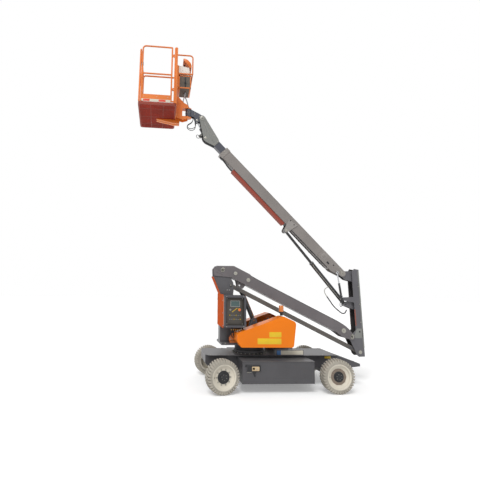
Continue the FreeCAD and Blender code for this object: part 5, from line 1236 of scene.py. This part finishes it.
class LIFT_OT_upper_boom(LiftPiece, bpy.types.Operator):
    """Upper boom with its heel, collar pads, cable tray and the links of its cable chain"""

    bl_idname = "lift.upper_boom"
    bl_label = "Upper boom"

    def build(self, sizes):
        inverse = UPPER.inverted()

        def bracket_or_boom(place, normal):
            at = inverse @ place
            return 1 if 1.28 < at.x < 1.51 and abs(at.y) > 0.0755 else 0

        dressed("upper_boom", ["boom_enamel", "bracket_enamel"], None, bracket_or_boom)
        # the cable tray is red-brown, a painted shade of its orange
        dressed("cable_tray", ["tray_primer"], 1 * MM)
        mesh = bmesh.new()
        turn = UPPER.to_3x3()
        for side in (1, -1):
            at = UPPER @ Vector((0, side * 0.0865, 0))
            disc(mesh, at, (0, side, 0), 0.040, 5 * MM, 1.5 * MM, 1, 40)
            bolt(mesh, at + Vector((0, side * 5 * MM, 0)), (0, side, 0), 0.018, 1)
            keeper = UPPER @ Matrix.Translation((0.052, 0, 0.012))
            slab(mesh, oblong((-0.012, -0.010), (0.040, 0.010), 0.005), *sorted((side * 0.0865, side * 0.091)), 1 * MM, 1, keeper)
            bolt(mesh, UPPER @ Vector((0.496, side * 0.0900, -0.032)), (0, side, 0), 0.017, 1)
            bead = sorted((side * 0.074, side * 0.078))
            slab(mesh, oblong((0.62, 0.0535), (3.29, 0.0575), 0.0015), *bead, 1 * MM, 0, UPPER)
            slab(mesh, oblong((0.62, -0.1375), (3.29, -0.1335), 0.0015), *bead, 1 * MM, 0, UPPER)
            for s in (3.325, 3.375):
                for n in (-0.105, -0.038, 0.030):
                    bolt(mesh, UPPER @ Vector((s, side * 0.0825, n)), (0, side, 0), 0.015, 1)
            pad = sorted((side * 0.0575, side * 0.072))
            for n in (-0.085, 0.012):
                slab(mesh, oblong((3.385, n), (3.408, n + 0.028), 0.003), *pad, 1 * MM, 2, UPPER)
            # two holes in the luff bracket drawn as black discs of painted shade
            for s, n in ((1.459, -0.030), (1.350, -0.033)):
                at = UPPER @ Vector((s, side * 0.0865, n))
                disc(mesh, at, (0, side, 0), 0.0125, 1.5 * MM, 0.4 * MM, 2, 24)
            at = UPPER @ Vector((1.382, side * 0.0865, -0.225))
            disc(mesh, at, (0, side, 0), 0.027, 5 * MM, 1.5 * MM, 1, 32)
            # the heel's slot and hole are drawn as black plates of painted shade
            slot = sorted((side * 0.0745, side * 0.0850))
            slab(mesh, oblong((0.3225, -0.0875), (0.3815, -0.0545), 0.004), *slot, 0.3 * MM, 2, UPPER)
            disc(mesh, UPPER @ Vector((0.24, side * 0.0755, -0.02)), (0, side, 0), 0.0138, 6 * MM, 0.5 * MM, 2, 28)
            # real plate and boss on the heel; their pale rings are a painted highlight of the plate's edge
            for radius, thick, paint in ((0.060, 1.2, 3), (0.036, 2.4, 0), (0.026, 4.5, 3)):
                at = UPPER @ Vector((0.496, side * 0.0865, -0.032))
                disc(mesh, at, (0, side, 0), radius, thick * MM, 1 * MM, paint, 40)
            for s, n in ((0.13, 0.030), (0.13, -0.055), (0.44, 0.036), (0.44, -0.095), (0.56, -0.085)):
                disc(mesh, UPPER @ Vector((s, side * 0.0865, n)), (0, side, 0), 0.0065, 4 * MM, 1.5 * MM, 1, 16)
        for s in (3.325, 3.375):
            for y in (-0.045, 0.045):
                bolt(mesh, UPPER @ Vector((s, y, 0.0675)), turn @ Z_AXIS, 0.015, 1)
        finishes = ["boom_enamel", "zinc_plated_steel", "black_nylon", "bracket_enamel"]
        piece("upper_boom_fittings", mesh, "upper_boom", finishes)
        self.chain()
        self.hoses(sizes)

    def chain(self):
        """Nylon chain links side by side in the tray, in two runs."""
        mesh = bmesh.new()
        pitch = 0.046
        for start, end in ((1.514, 2.232), (2.248, 2.966)):
            count = int((end - start) / pitch)
            for i in range(count):
                s = start + pitch * (i + 0.5)
                for side in (1, -1):
                    side_plate = oblong((-0.0215, -0.197), (0.0215, -0.153), 0.009)
                    at = UPPER @ Matrix.Translation((s, 0, 0))
                    slab(mesh, side_plate, *sorted((side * 0.032, side * 0.040)), 1.5 * MM, 0, at, 1)
                    disc(mesh, at @ Vector((0.0215, side * 0.031, -0.175)), (0, side, 0), 0.008, 0.0105, 1 * MM, 0, 12)
                block(mesh, (-0.007, -0.033, -0.196), (0.007, 0.033, -0.190), 1 * MM, 0, UPPER @ Matrix.Translation((s, 0, 0)), 1)
                block(mesh, (-0.007, -0.033, -0.160), (0.007, 0.033, -0.154), 1 * MM, 0, UPPER @ Matrix.Translation((s, 0, 0)), 1)
        for y in (-0.018, 0.0, 0.018):
            start = UPPER @ Vector((1.50, y, -0.176))
            disc(mesh, start, UPPER.to_3x3() @ X_AXIS, 0.0075, 1.48, 0, 1, 12)
        made = piece("cable_chain_links", mesh, "upper_boom", ["black_nylon", "hose_rubber"])
        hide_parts("cable_chain")

    def hoses(self, sizes):
        """Hoses from the boom's heel into the tray, and the loop that hangs below its far end."""
        for i, side in enumerate((1, -1)):
            rows = ((0.30, 0.0635, -0.142), (0.42, 0.0635, -0.148), (0.9, 0.0635, -0.148), (1.40, 0.0635, -0.148))
            rows += ((1.50, 0.055, -0.152), (1.53, 0.030, -0.172), (1.60, 0.026, -0.175))
            points = [(s, side * y, n) for s, y, n in rows]
            line(f"boom_hose_{i + 1}", points, 0.014, "upper_boom", "hose_rubber", "black_plastic", UPPER)
        mesh = bmesh.new()
        for s in (0.42, 0.72, 1.02):
            for side in (1, -1):
                at = sorted((side * 0.053, side * 0.073))
                block(mesh, (s, at[0], -0.158), (s + 0.02, at[1], -0.139), 2 * MM, 0, UPPER)
        piece("boom_hose_clamps", mesh, "upper_boom", ["black_nylon"])
        for i, y in enumerate((-0.022, 0.0, 0.022)):
            points = [(2.96, y, -0.176), (3.04, y, -0.178), (3.13, y, -0.172), (3.20, y, -0.158), (3.29, y, -0.150)]
            points += [(3.36, y, -0.156)]
            line(f"tray_end_hose_{i + 1}", points, 0.013, "upper_boom", "hose_rubber", "black_plastic", UPPER)


class LIFT_OT_fly_boom(LiftPiece, bpy.types.Operator):
    """Fly boom with its pale nose plates, levelling slave cylinder and the level yoke"""

    bl_idname = "lift.fly_boom"
    bl_label = "Fly boom"

    def build(self, sizes):
        inverse = UPPER.inverted()

        def nose_face(place, normal):
            at = inverse @ place
            return 1 if at.x > 3.595 and abs(at.y) > 0.0575 else 0

        dressed("fly_boom", ["fly_enamel", "nose_enamel"], sizes.edge, nose_face)
        dressed("slave_cylinder", ["cylinder_black_enamel"], 1 * MM)
        dressed("level_yoke", ["fly_enamel"], sizes.edge)
        repainted(["slave_rod"], "hard_chrome_rod")
        mesh = bmesh.new()
        turn = UPPER.to_3x3()
        for side in (1, -1):
            out = side * 0.0675
            for s, n, radius in ((4.19, 0.125, 0.040), (3.84, -0.115, 0.026)):
                at = UPPER @ Vector((s, out, n))
                disc(mesh, at, (0, side, 0), radius, 5 * MM, 1.5 * MM, 1, 40)
            at = UPPER @ Vector((4.19, out + side * 4.5 * MM, 0.125))
            bolt(mesh, at, (0, side, 0), 0.017, 1)
            seam = sorted((side * 0.0675, side * 0.0705))
            rows = [(3.66, -0.06), (3.72, -0.06), (4.10, 0.085), (4.09, 0.11), (3.66, -0.035)]
            slab(mesh, rounded(rows, 0.006), *seam, 1 * MM, 0, UPPER)
            for s, n in ((3.62, -0.07), (3.62, 0.015), (3.76, 0.045), (3.95, 0.10)):
                bolt(mesh, UPPER @ Vector((s, out, n)), (0, side, 0), 0.014, 1)
        block(mesh, (3.60, -0.03, 0.044), (3.66, 0.03, 0.052), 2 * MM, 0, UPPER)
        block(mesh, (3.915, -0.030, -0.169), (3.975, 0.034, -0.107), 3 * MM, 3, UPPER)
        for s, n in ((3.930, -0.169), (3.960, -0.169)):
            disc(mesh, UPPER @ Vector((s, 0.012, n)), turn @ -Z_AXIS, 0.010, 0.016, 0, 1, 6)
        disc(mesh, UPPER @ Vector((3.945, 0.033, -0.138)), Y_AXIS, 0.013, 0.018, 1 * MM, 1, 6)
        finishes = ["nose_enamel", "zinc_plated_steel", "fly_enamel", "cylinder_black_enamel"]
        piece("nose_fittings", mesh, "fly_boom", finishes)
        for i, y in enumerate((-0.03, -0.01, 0.01, 0.03)):
            points = [(3.60, y, -0.106), (3.68, y, -0.112), (3.75, y, -0.155), (3.83, y, -0.178)]
            points += [(3.90, y, -0.150), (3.95, y, -0.095), (4.02, y, -0.02)]
            line(f"nose_hose_{i + 1}", points, 0.012, "fly_boom", "hose_rubber", "black_paint", UPPER)
        points = [(3.930, 0.012, -0.176), (3.932, 0.018, -0.205), (3.965, 0.024, -0.232), (4.005, 0.024, -0.215)]
        points += [(4.010, 0.020, -0.180), (3.985, 0.014, -0.165), (3.960, 0.012, -0.176)]
        line("valve_hose", points, 0.011, "fly_boom", "hose_rubber", "black_paint", UPPER)
        self.yoke(sizes)

    def yoke(self, sizes):
        """Rotator head bolts, its motor and the black hoses under it."""
        mesh = bmesh.new()
        low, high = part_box("level_yoke")
        place = joint_place("platform_rotate")
        foot = low.z
        middle = Vector((place.x, 0, 5.25))
        for z in (5.178, 5.318):
            disc(mesh, (middle.x, 0, z), Z_AXIS, 0.0645, 0.008, 2 * MM, 0, 48)
        for at in circle_of(8, 0.0615, 0.39):
            bolt(mesh, (middle.x + at.x, at.y, 5.262), (at.x, at.y, 0), 0.012, 1)
        for side in (1, -1):
            for x, z in ((0.055, 0.045), (0.155, 0.085), (0.155, 0.135)):
                bolt(mesh, NOSE @ Vector((x, side * 0.0495, z)), (0, side, 0), 0.014, 1)
            disc(mesh, NOSE @ Vector((0.1037, side * 0.0495, -0.0442)), (0, side, 0), 0.022, 5 * MM, 1 * MM, 1, 32)
        block(mesh, (middle.x - 0.12, -0.033, 5.232), (middle.x - 0.058, 0.033, 5.292), 4 * MM, 2)
        for y in (-0.018, 0.018):
            disc(mesh, (middle.x - 0.105, y, 5.29), Z_AXIS, 0.008, 0.014, 0, 3, 6)
        finishes = ["fly_enamel", "zinc_plated_steel", "cylinder_black_enamel", "brass_fitting"]
        piece("rotator_fittings", mesh, "level_yoke", finishes)
        for i, y in enumerate((-0.018, 0.018)):
            drop = 0.012 * i
            wide = 2.1 * y
            rows = [(-0.095, y, 5.236), (-0.100, y, 5.170), (-0.096, y, 5.100), (-0.056, y, 5.045)]
            rows += [(0.004, y, 5.012), (0.026, y, 4.955 + drop), (-0.018, y, 4.910 + drop)]
            rows += [(-0.085, wide, 4.903 + drop), (-0.142, wide, 4.942 + drop), (-0.156, wide, 5.010), (-0.140, wide, 5.080)]
            points = [(middle.x + x, at_y, z) for x, at_y, z in rows]
            made = line(f"rotator_hose_{i + 1}", points, 0.0135, "level_yoke", "hose_rubber", "black_paint")


class LIFT_OT_platform(LiftPiece, bpy.types.Operator):
    """Platform with its mesh floor, rails, gate, toe strips, console, joystick, cover flap and bag"""

    bl_idname = "lift.platform"
    bl_label = "Platform"

    def build(self, sizes):
        dressed("platform_bracket", ["orange_powder_coat"], sizes.edge)
        dressed("platform_rails", ["orange_powder_coat"], 0.8 * MM)
        dressed("platform_gate", ["orange_powder_coat"], 0.8 * MM)
        self.floor()
        self.toe_strips()
        self.console()
        self.bag()
        self.tray_frame()
        self.cables()

    def floor(self):
        """Rounded tray with a mesh deck, red-brown as painted shade of the orange floor, its ribs below and an orange
        beam at the inner end.
        """
        low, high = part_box("platform_floor")
        mesh = bmesh.new()
        border = oblong((low.x, low.y), (high.x, high.y), 0.060, 8)
        inside = oblong((low.x + 0.030, low.y + 0.030), (high.x - 0.030, high.y - 0.030), 0.040, 8)
        flat = Matrix(((1, 0, 0, 0), (0, 0, 1, 0), (0, 1, 0, 0), (0, 0, 0, 1)))
        slab(mesh, border, high.z - 6 * MM, high.z, 1.5 * MM, 1, flat)
        verts_out = [mesh.verts.new((x, y, low.z)) for x, y in border]
        verts_in = [mesh.verts.new((x, y, low.z)) for x, y in inside]
        tops_out = [mesh.verts.new((x, y, high.z - 5.5 * MM)) for x, y in border]
        tops_in = [mesh.verts.new((x, y, high.z - 5.5 * MM)) for x, y in inside]
        count = len(border)
        made = []
        for i in range(count):
            n = (i + 1) % count
            made.append(mesh.faces.new((verts_out[i], verts_out[n], tops_out[n], tops_out[i])))
            made.append(mesh.faces.new((verts_in[n], verts_in[i], tops_in[i], tops_in[n])))
            made.append(mesh.faces.new((verts_out[n], verts_out[i], verts_in[i], verts_in[n])))
            made.append(mesh.faces.new((tops_out[i], tops_out[n], tops_in[n], tops_in[i])))
        rims = [e for e in {e for v in verts_out for e in v.link_edges} if all(v in set(verts_out) for v in e.verts)]
        ease(mesh, rims, 2 * MM)
        for y in (-0.38, -0.19, 0.0, 0.19, 0.38):
            block(mesh, (low.x + 0.02, y - 0.004, low.z + 4 * MM), (high.x - 0.02, y + 0.004, high.z - 4 * MM), 1 * MM)
        for x in (low.x + 0.25, low.x + 0.49):
            block(mesh, (x - 0.003, low.y + 0.02, low.z + 4 * MM), (x + 0.003, high.y - 0.02, high.z - 4 * MM), 1 * MM)
        sheet = oblong((low.x + 0.024, low.y + 0.024), (high.x - 0.024, high.y - 0.024), 0.044, 8)
        slab(mesh, sheet, low.z + 1.5 * MM, low.z + 4.5 * MM, 0, 1, flat)
        for y in (-0.36, 0.0, 0.36):
            slab(mesh, oblong((low.x + 0.03, y - 0.006), (high.x - 0.03, y + 0.006), 0.002), low.z, low.z + 3 * MM, 0.8 * MM, 0, flat)
        for x in (low.x + 0.25, low.x + 0.49):
            slab(mesh, oblong((x - 0.005, low.y + 0.03), (x + 0.005, high.y - 0.03), 0.002), low.z, low.z + 3 * MM, 0.8 * MM, 0, flat)
        for at in ((1.58, 0.50), (1.75, 0.50), (2.02, 0.50), (2.19, 0.50)):
            disc(mesh, (at[0], at[1], low.z - 0.5 * MM), Z_AXIS, 0.008, 2.5 * MM, 0, 0, 16)
        made = piece("platform_deck", mesh, "platform", ["tray_primer", "floor_sheet"])
        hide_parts("platform_floor")
        mesh = bmesh.new()
        for y in (-0.215, -0.13):
            shape = [(1.430, 5.062), (1.430, 5.125), (1.45, 5.1365), (1.90, 5.1365), (1.90, 5.128), (1.60, 5.072)]
            slab(mesh, rounded(shape + [(1.56, 5.062)], 0.004), y, y + 0.06, 2 * MM)
            for x, z in ((1.66, 5.084), (1.86, 5.1215)):
                bolt(mesh, (x, y + 0.03, z), -Z_AXIS, 0.012, 1, washer=False)
        piece("floor_beams", mesh, "platform", ["orange_powder_coat", "zinc_plated_steel"])

    def toe_strips(self):
        """White strip with red dashes along the gate's toe board, hinges, catch and bolts."""
        low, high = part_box("platform_gate")
        face = 0.554
        mesh = bmesh.new()
        bar = 0.5655
        slab(mesh, oblong((1.640, 5.192), (2.186, 5.240), 0.003), bar - 5 * MM, bar, 0.5 * MM, 0)
        for start, end in ((1.731, 1.863), (2.032, 2.154)):
            slab(mesh, oblong((start, 5.196), (end, 5.236), 0.002), bar - 0.5 * MM, bar + 0.6 * MM, 0.2 * MM, 1)
        for x in (1.69, 1.90, 2.14):
            disc(mesh, (x, face, 5.290), Y_AXIS, 0.007, 3 * MM, 1.2 * MM, 2, 18)
        block(mesh, (2.176, 0.528, 5.92), (2.212, 0.560, 5.99), 3 * MM, 3)
        disc(mesh, (2.194, 0.558, 5.955), Y_AXIS, 0.009, 6 * MM, 1 * MM, 2, 20)
        finishes = ["cream_stripe_film", "red_dash_film", "zinc_plated_steel", "black_nylon"]
        piece("gate_strip", mesh, "platform_gate", finishes)
        mesh = bmesh.new()
        y = -0.563
        slab(mesh, oblong((1.56, 5.238), (2.21, 5.270), 0.003), y - 0.8 * MM, y + 0.5 * MM, 0.3 * MM, 0)
        for start in (1.62, 1.83, 2.04):
            slab(mesh, oblong((start, 5.242), (start + 0.13, 5.266), 0.002), y - 1.2 * MM, y - 0.5 * MM, 0.2 * MM, 1)
        for x, y in ((1.5367, 0.45), (1.5367, -0.45), (2.2327, 0.45), (2.2327, -0.45)):
            block(mesh, (x - 0.022, y - 0.03, 5.1855), (x + 0.022, y + 0.03, 5.1915), 1 * MM, 3)
            for dy in (-0.018, 0.018):
                bolt(mesh, (x, y + dy, 5.1915), Z_AXIS, 0.010, 2)
        finishes = ["cream_stripe_film", "red_dash_film", "zinc_plated_steel", "orange_powder_coat"]
        piece("rail_strip", mesh, "platform", finishes)

    def console(self):
        """Pale console with its sloped panel, joystick, switches, stop button and the orange cover flap."""
        mesh = bmesh.new()
        side = [(1.4797, 6.006), (1.4797, 6.186), (1.2697, 6.146), (1.2547, 6.036), (1.3197, 6.006)]
        slab(mesh, rounded(side, [0.006, 0.018, 0.022, 0.02, 0.02], 4), -0.19, 0.21, 7 * MM, 0, None, 3)
        made = piece("console_case", mesh, "platform", ["console_plastic"], smooth=45)
        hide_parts("platform_console")
        slope = math.degrees(math.atan2(0.04, 0.21))
        panel = slanted(Vector((1.2697, 0, 6.146)), slope)
        mesh = bmesh.new()
        block(mesh, (0.022, -0.170, 0.001), (0.192, 0.190, 0.006), 2 * MM, 0, panel, 2)
        up = panel.to_3x3() @ Z_AXIS
        stick = panel @ Vector((0.115, 0.10, 0.005))
        disc(mesh, stick, up, 0.030, 0.010, 3 * MM, 1, 32)
        disc(mesh, stick + up * 0.010, up, 0.024, 0.016, 1 * MM, 1, 32, 0.010)
        disc(mesh, stick + up * 0.024, up, 0.0065, 0.040, 1 * MM, 1, 16)
        disc(mesh, stick + up * 0.058, up, 0.014, 0.042, 5 * MM, 1, 24, 0.017)
        other = panel @ Vector((0.115, -0.10, 0.005))
        disc(mesh, other, up, 0.026, 0.010, 3 * MM, 1, 32)
        disc(mesh, other + up * 0.008, up, 0.006, 0.034, 1 * MM, 1, 16)
        disc(mesh, other + up * 0.038, up, 0.012, 0.030, 4 * MM, 1, 24)
        stop = panel @ Vector((0.125, 0.0, 0.005))
        disc(mesh, stop, up, 0.018, 0.010, 1 * MM, 3, 32)
        disc(mesh, stop + up * 0.009, up, 0.022, 0.013, 4 * MM, 2, 36)
        for i in range(5):
            spot = panel @ Vector((0.055, -0.13 + 0.058 * i, 0.0055))
            disc(mesh, spot, up, 0.008, 0.004, 1 * MM, 4, 20)
            disc(mesh, spot + up * 0.003, up, 0.003, 0.014, 0.8 * MM, 4, 12)
        finishes = ["panel_membrane", "black_nylon", "stop_button_plastic", "yellow_label_film", "zinc_plated_steel"]
        piece("console_controls", mesh, "platform", finishes)
        mesh = bmesh.new()
        flap = [(1.2247, 6.150), (1.2225, 6.192), (1.243, 6.255), (1.300, 6.320), (1.362, 6.3455), (1.392, 6.3475)]
        inner = [(1.392, 6.3435), (1.363, 6.3415), (1.303, 6.3165), (1.2465, 6.2535), (1.2265, 6.192), (1.2287, 6.150)]
        slab(mesh, flap + inner, -0.185, 0.205, 0.5 * MM, 0)
        cheek = [(1.2247, 6.150), (1.2225, 6.192), (1.243, 6.255), (1.300, 6.320), (1.362, 6.3455), (1.392, 6.3475)]
        cheek += [(1.386, 6.310), (1.330, 6.245), (1.290, 6.190), (1.262, 6.152)]
        for y in (-0.187, 0.203):
            slab(mesh, cheek, y, y + 4 * MM, 1 * MM, 0)
        for y in (-0.12, 0.13):
            disc(mesh, (1.2287, y - 0.03, 6.152), Y_AXIS, 0.006, 0.06, 1 * MM, 1, 16)
        block(mesh, (1.2287, -0.15, 6.132), (1.2345, 0.17, 6.158), 1 * MM, 0)
        finishes = ["orange_powder_coat", "zinc_plated_steel"]
        piece("console_flap", mesh, "platform", finishes)

    def bag(self):
        """Grey storage bag in the tray below the console, with its black lid strap and handle."""
        dressed("tool_tray", ["grey_canvas"], 1 * MM)
        mesh = bmesh.new()
        block(mesh, (1.242, -0.168, 5.706), (1.467, 0.188, 5.958), 16 * MM, 0, None, 4)
        block(mesh, (1.250, -0.150, 5.950), (1.460, 0.170, 5.978), 9 * MM, 0, None, 3)
        for y in (-0.09, 0.10):
            block(mesh, (1.238, y, 5.70), (1.471, y + 0.030, 5.9805), 6 * MM, 1, None, 2)
        strap = [(1.330, 5.72), (1.356, 5.72), (1.356, 5.94), (1.330, 5.94)]
        slab(mesh, rounded(strap, 0.006), 0.1995, 0.2045, 1.5 * MM, 1)
        block(mesh, (1.326, 0.199, 5.80), (1.360, 0.212, 5.84), 4 * MM, 1)
        piece("tool_bag", mesh, "platform", ["grey_canvas", "black_nylon"], smooth=55)
        points = [(1.30, 0.01, 5.975), (1.30, 0.01, 5.995), (1.36, 0.01, 6.0), (1.42, 0.01, 5.995), (1.42, 0.01, 5.975)]
        line("tool_bag_handle", points, 0.010, "platform", "black_nylon", "black_plastic")

    def tray_frame(self):
        """Flat orange bars that hold the tray, along its near and far faces and under it."""
        low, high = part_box("tool_tray")
        mesh = bmesh.new()
        for y in (low.y - 4 * MM, high.y - 0.5 * MM):
            for x in (low.x - 1 * MM, high.x - 0.020):
                block(mesh, (x, y, low.z - 3 * MM), (x + 0.020, y + 4.5 * MM, high.z), 1.2 * MM)
            block(mesh, (low.x - 1 * MM, y, low.z - 3 * MM), (high.x, y + 4.5 * MM, low.z + 0.024), 1.2 * MM)
            block(mesh, (low.x - 1 * MM, y, high.z - 0.016), (high.x, y + 4.5 * MM, high.z), 1.2 * MM)
        for x in (low.x - 1 * MM, high.x - 0.030):
            block(mesh, (x, low.y, low.z - 3 * MM), (x + 0.030, high.y, low.z + 0.5 * MM), 1.2 * MM)
        piece("tray_frame", mesh, "platform", ["orange_powder_coat"])

    def cables(self):
        """Two grey cables that hang in a V from the console down to the rotator bracket."""
        mesh = bmesh.new()
        for x, y in ((1.330, 0.05), (1.352, -0.03)):
            disc(mesh, (x, y, 5.684), Z_AXIS, 0.015, 0.014, 1 * MM, 0, 24)
        for x, y in ((1.374, 0.040), (1.259, 0.030)):
            disc(mesh, (x, y, 5.364 if x < 1.3 else 5.4585), Z_AXIS, 0.015, 0.022, 1 * MM, 0, 24)
        block(mesh, (1.235, -0.045, 5.3515), (1.283, 0.045, 5.366), 3 * MM, 1)
        block(mesh, (1.350, -0.067, 5.430), (1.398, 0.067, 5.460), 3 * MM, 1)
        piece("cable_entries", mesh, "platform", ["black_nylon", "fly_enamel"])
        runs = {
            "cable_near": [(1.330, 0.05, 5.686), (1.332, 0.06, 5.640), (1.352, 0.075, 5.570), (1.374, 0.040, 5.478)],
            "cable_far": [(1.352, -0.03, 5.686), (1.345, 0.0, 5.630), (1.290, 0.06, 5.500), (1.259, 0.030, 5.378)],
        }
        for name, points in runs.items():
            made = line(name, points, 0.023, "platform", "cable_jacket", "black_plastic")


class LIFT_OT_stage(LiftPiece, bpy.types.Operator):
    """White floor and backdrop, soft light and the camera at the photograph's place"""

    bl_idname = "lift.stage"
    bl_label = "Stage"

    def build(self, sizes):
        self.floor()
        self.world()
        self.lights()
        self.camera()
        scene = bpy.context.scene
        scene.view_settings.view_transform = "Standard"

    def floor(self):
        mesh = bmesh.new()
        bmesh.ops.create_grid(mesh, x_segments=1, y_segments=1, size=40)
        data = bpy.data.meshes.new("stage_floor")
        mesh.to_mesh(data)
        mesh.free()
        material, tree, shader, place = started("studio_floor")
        grain = grained(tree, place, 30, 2.0)
        tree.links.new(mixed(tree, grain, (0.86, 0.86, 0.86, 1), (0.90, 0.90, 0.90, 1)), shader.inputs["Base Color"])
        shader.inputs["Roughness"].default_value = 0.85
        # the floor's last step to white is for the camera and reflections, and lights nothing
        seen = seen_directly(tree)
        shader.inputs["Emission Color"].default_value = (1, 1, 1, 1)
        tree.links.new(stretched(tree, seen, 0, 0.26), shader.inputs["Emission Strength"])
        data.materials.append(material)
        floor = bpy.data.objects.new("stage_floor", data)
        bpy.context.scene.collection.objects.link(floor)

    def world(self):
        """White to the camera and in reflections; a softer light on the machine."""
        world = bpy.data.worlds.new("studio")
        world.use_nodes = True
        bpy.context.scene.world = world
        tree = world.node_tree
        tree.nodes.clear()
        seen = seen_directly(tree)
        soft = add(tree, "ShaderNodeBackground", {"Color": (1, 1, 1, 1), "Strength": 0.50})
        white = add(tree, "ShaderNodeBackground", {"Color": (1, 1, 1, 1), "Strength": 1.0})
        both = add(tree, "ShaderNodeMixShader", {0: seen, 1: soft.outputs[0], 2: white.outputs[0]})
        output = add(tree, "ShaderNodeOutputWorld")
        tree.links.new(both.outputs[0], output.inputs["Surface"])

    def lights(self):
        sun = bpy.data.lights.new("key_sun", "SUN")
        sun.energy = 1.75
        sun.angle = math.radians(25)
        holder = bpy.data.objects.new("key_sun", sun)
        bpy.context.scene.collection.objects.link(holder)
        holder.location = (2.0, 6.0, 8.0)
        holder.rotation_euler = Vector((-2.2, -4.5, -6.0)).to_track_quat("-Z", "Y").to_euler()

    def camera(self):
        """The camera found from the photograph's wheels, deck and booms."""
        yaw, pitch, roll = 0.0982, 0.1628, 0.0189
        ahead = Vector((-math.sin(yaw) * math.cos(pitch), -math.cos(yaw) * math.cos(pitch), math.sin(pitch)))
        right = ahead.cross(Z_AXIS).normalized()
        up = right.cross(ahead)
        right, up = (
            right * math.cos(roll) + up * math.sin(roll),
            up * math.cos(roll) - right * math.sin(roll),
        )
        data = bpy.data.cameras.new("camera")
        data.sensor_width = 36
        data.lens = 28.8
        data.shift_x = 0.0886
        data.shift_y = -0.0385
        data.clip_end = 200
        holder = bpy.data.objects.new("camera", data)
        bpy.context.scene.collection.objects.link(holder)
        turn = Matrix((right, up, -ahead)).transposed().to_4x4()
        holder.matrix_world = Matrix.Translation((1.7541, 7.4125, 1.7917)) @ turn
        bpy.context.scene.camera = holder


class LIFT_PT_panel(bpy.types.Panel):
    """Sizes, colours and the operators in order"""

    bl_idname = "LIFT_PT_panel"
    bl_label = "Boom lift"
    bl_space_type = "VIEW_3D"
    bl_region_type = "UI"
    bl_category = "Boom lift"

    def draw(self, context):
        for group in (context.scene.lift_sizes, context.scene.lift_colours):
            column = self.layout.column()
            for name in type(group).__annotations__:
                column.prop(group, name)
        for operator in OPERATORS:
            self.layout.operator(operator.bl_idname)


OPERATORS = (
    LIFT_OT_chassis,
    LIFT_OT_wheels,
    LIFT_OT_turntable,
    LIFT_OT_controls,
    LIFT_OT_hoods,
    LIFT_OT_lower_boom,
    LIFT_OT_upright,
    LIFT_OT_upper_boom,
    LIFT_OT_fly_boom,
    LIFT_OT_platform,
    LIFT_OT_stage,
)
CLASSES = (LiftColours, LiftSizes, *OPERATORS, LIFT_PT_panel)


def register():
    for one in CLASSES:
        bpy.utils.register_class(one)
    bpy.types.Scene.lift_colours = PointerProperty(type=LiftColours)
    bpy.types.Scene.lift_sizes = PointerProperty(type=LiftSizes)


def unregister():
    del bpy.types.Scene.lift_sizes
    del bpy.types.Scene.lift_colours
    for one in reversed(CLASSES):
        bpy.utils.unregister_class(one)


def visual_box():
    """The box of everything that shows of the lift, without the stage."""
    bpy.context.view_layer.update()
    graph = bpy.context.evaluated_depsgraph_get()
    low = Vector((math.inf,) * 3)
    high = -low
    for one in bpy.context.scene.objects:
        if one.type not in {"MESH", "CURVE"} or one.hide_render or "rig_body" not in one:
            continue
        final = one.evaluated_get(graph)
        data = final.to_mesh()
        for vert in data.vertices:
            at = final.matrix_world @ vert.co
            low = Vector(map(min, low, at))
            high = Vector(map(max, high, at))
        final.to_mesh_clear()
    return low, high


def main():
    register()
    for operator in OPERATORS:
        group, name = operator.bl_idname.split(".")
        if getattr(getattr(bpy.ops, group), name)() != {"FINISHED"}:
            raise RuntimeError(f"{operator.bl_idname} did not finish")
    low, high = visual_box()


if __name__ == "__main__":
    main()
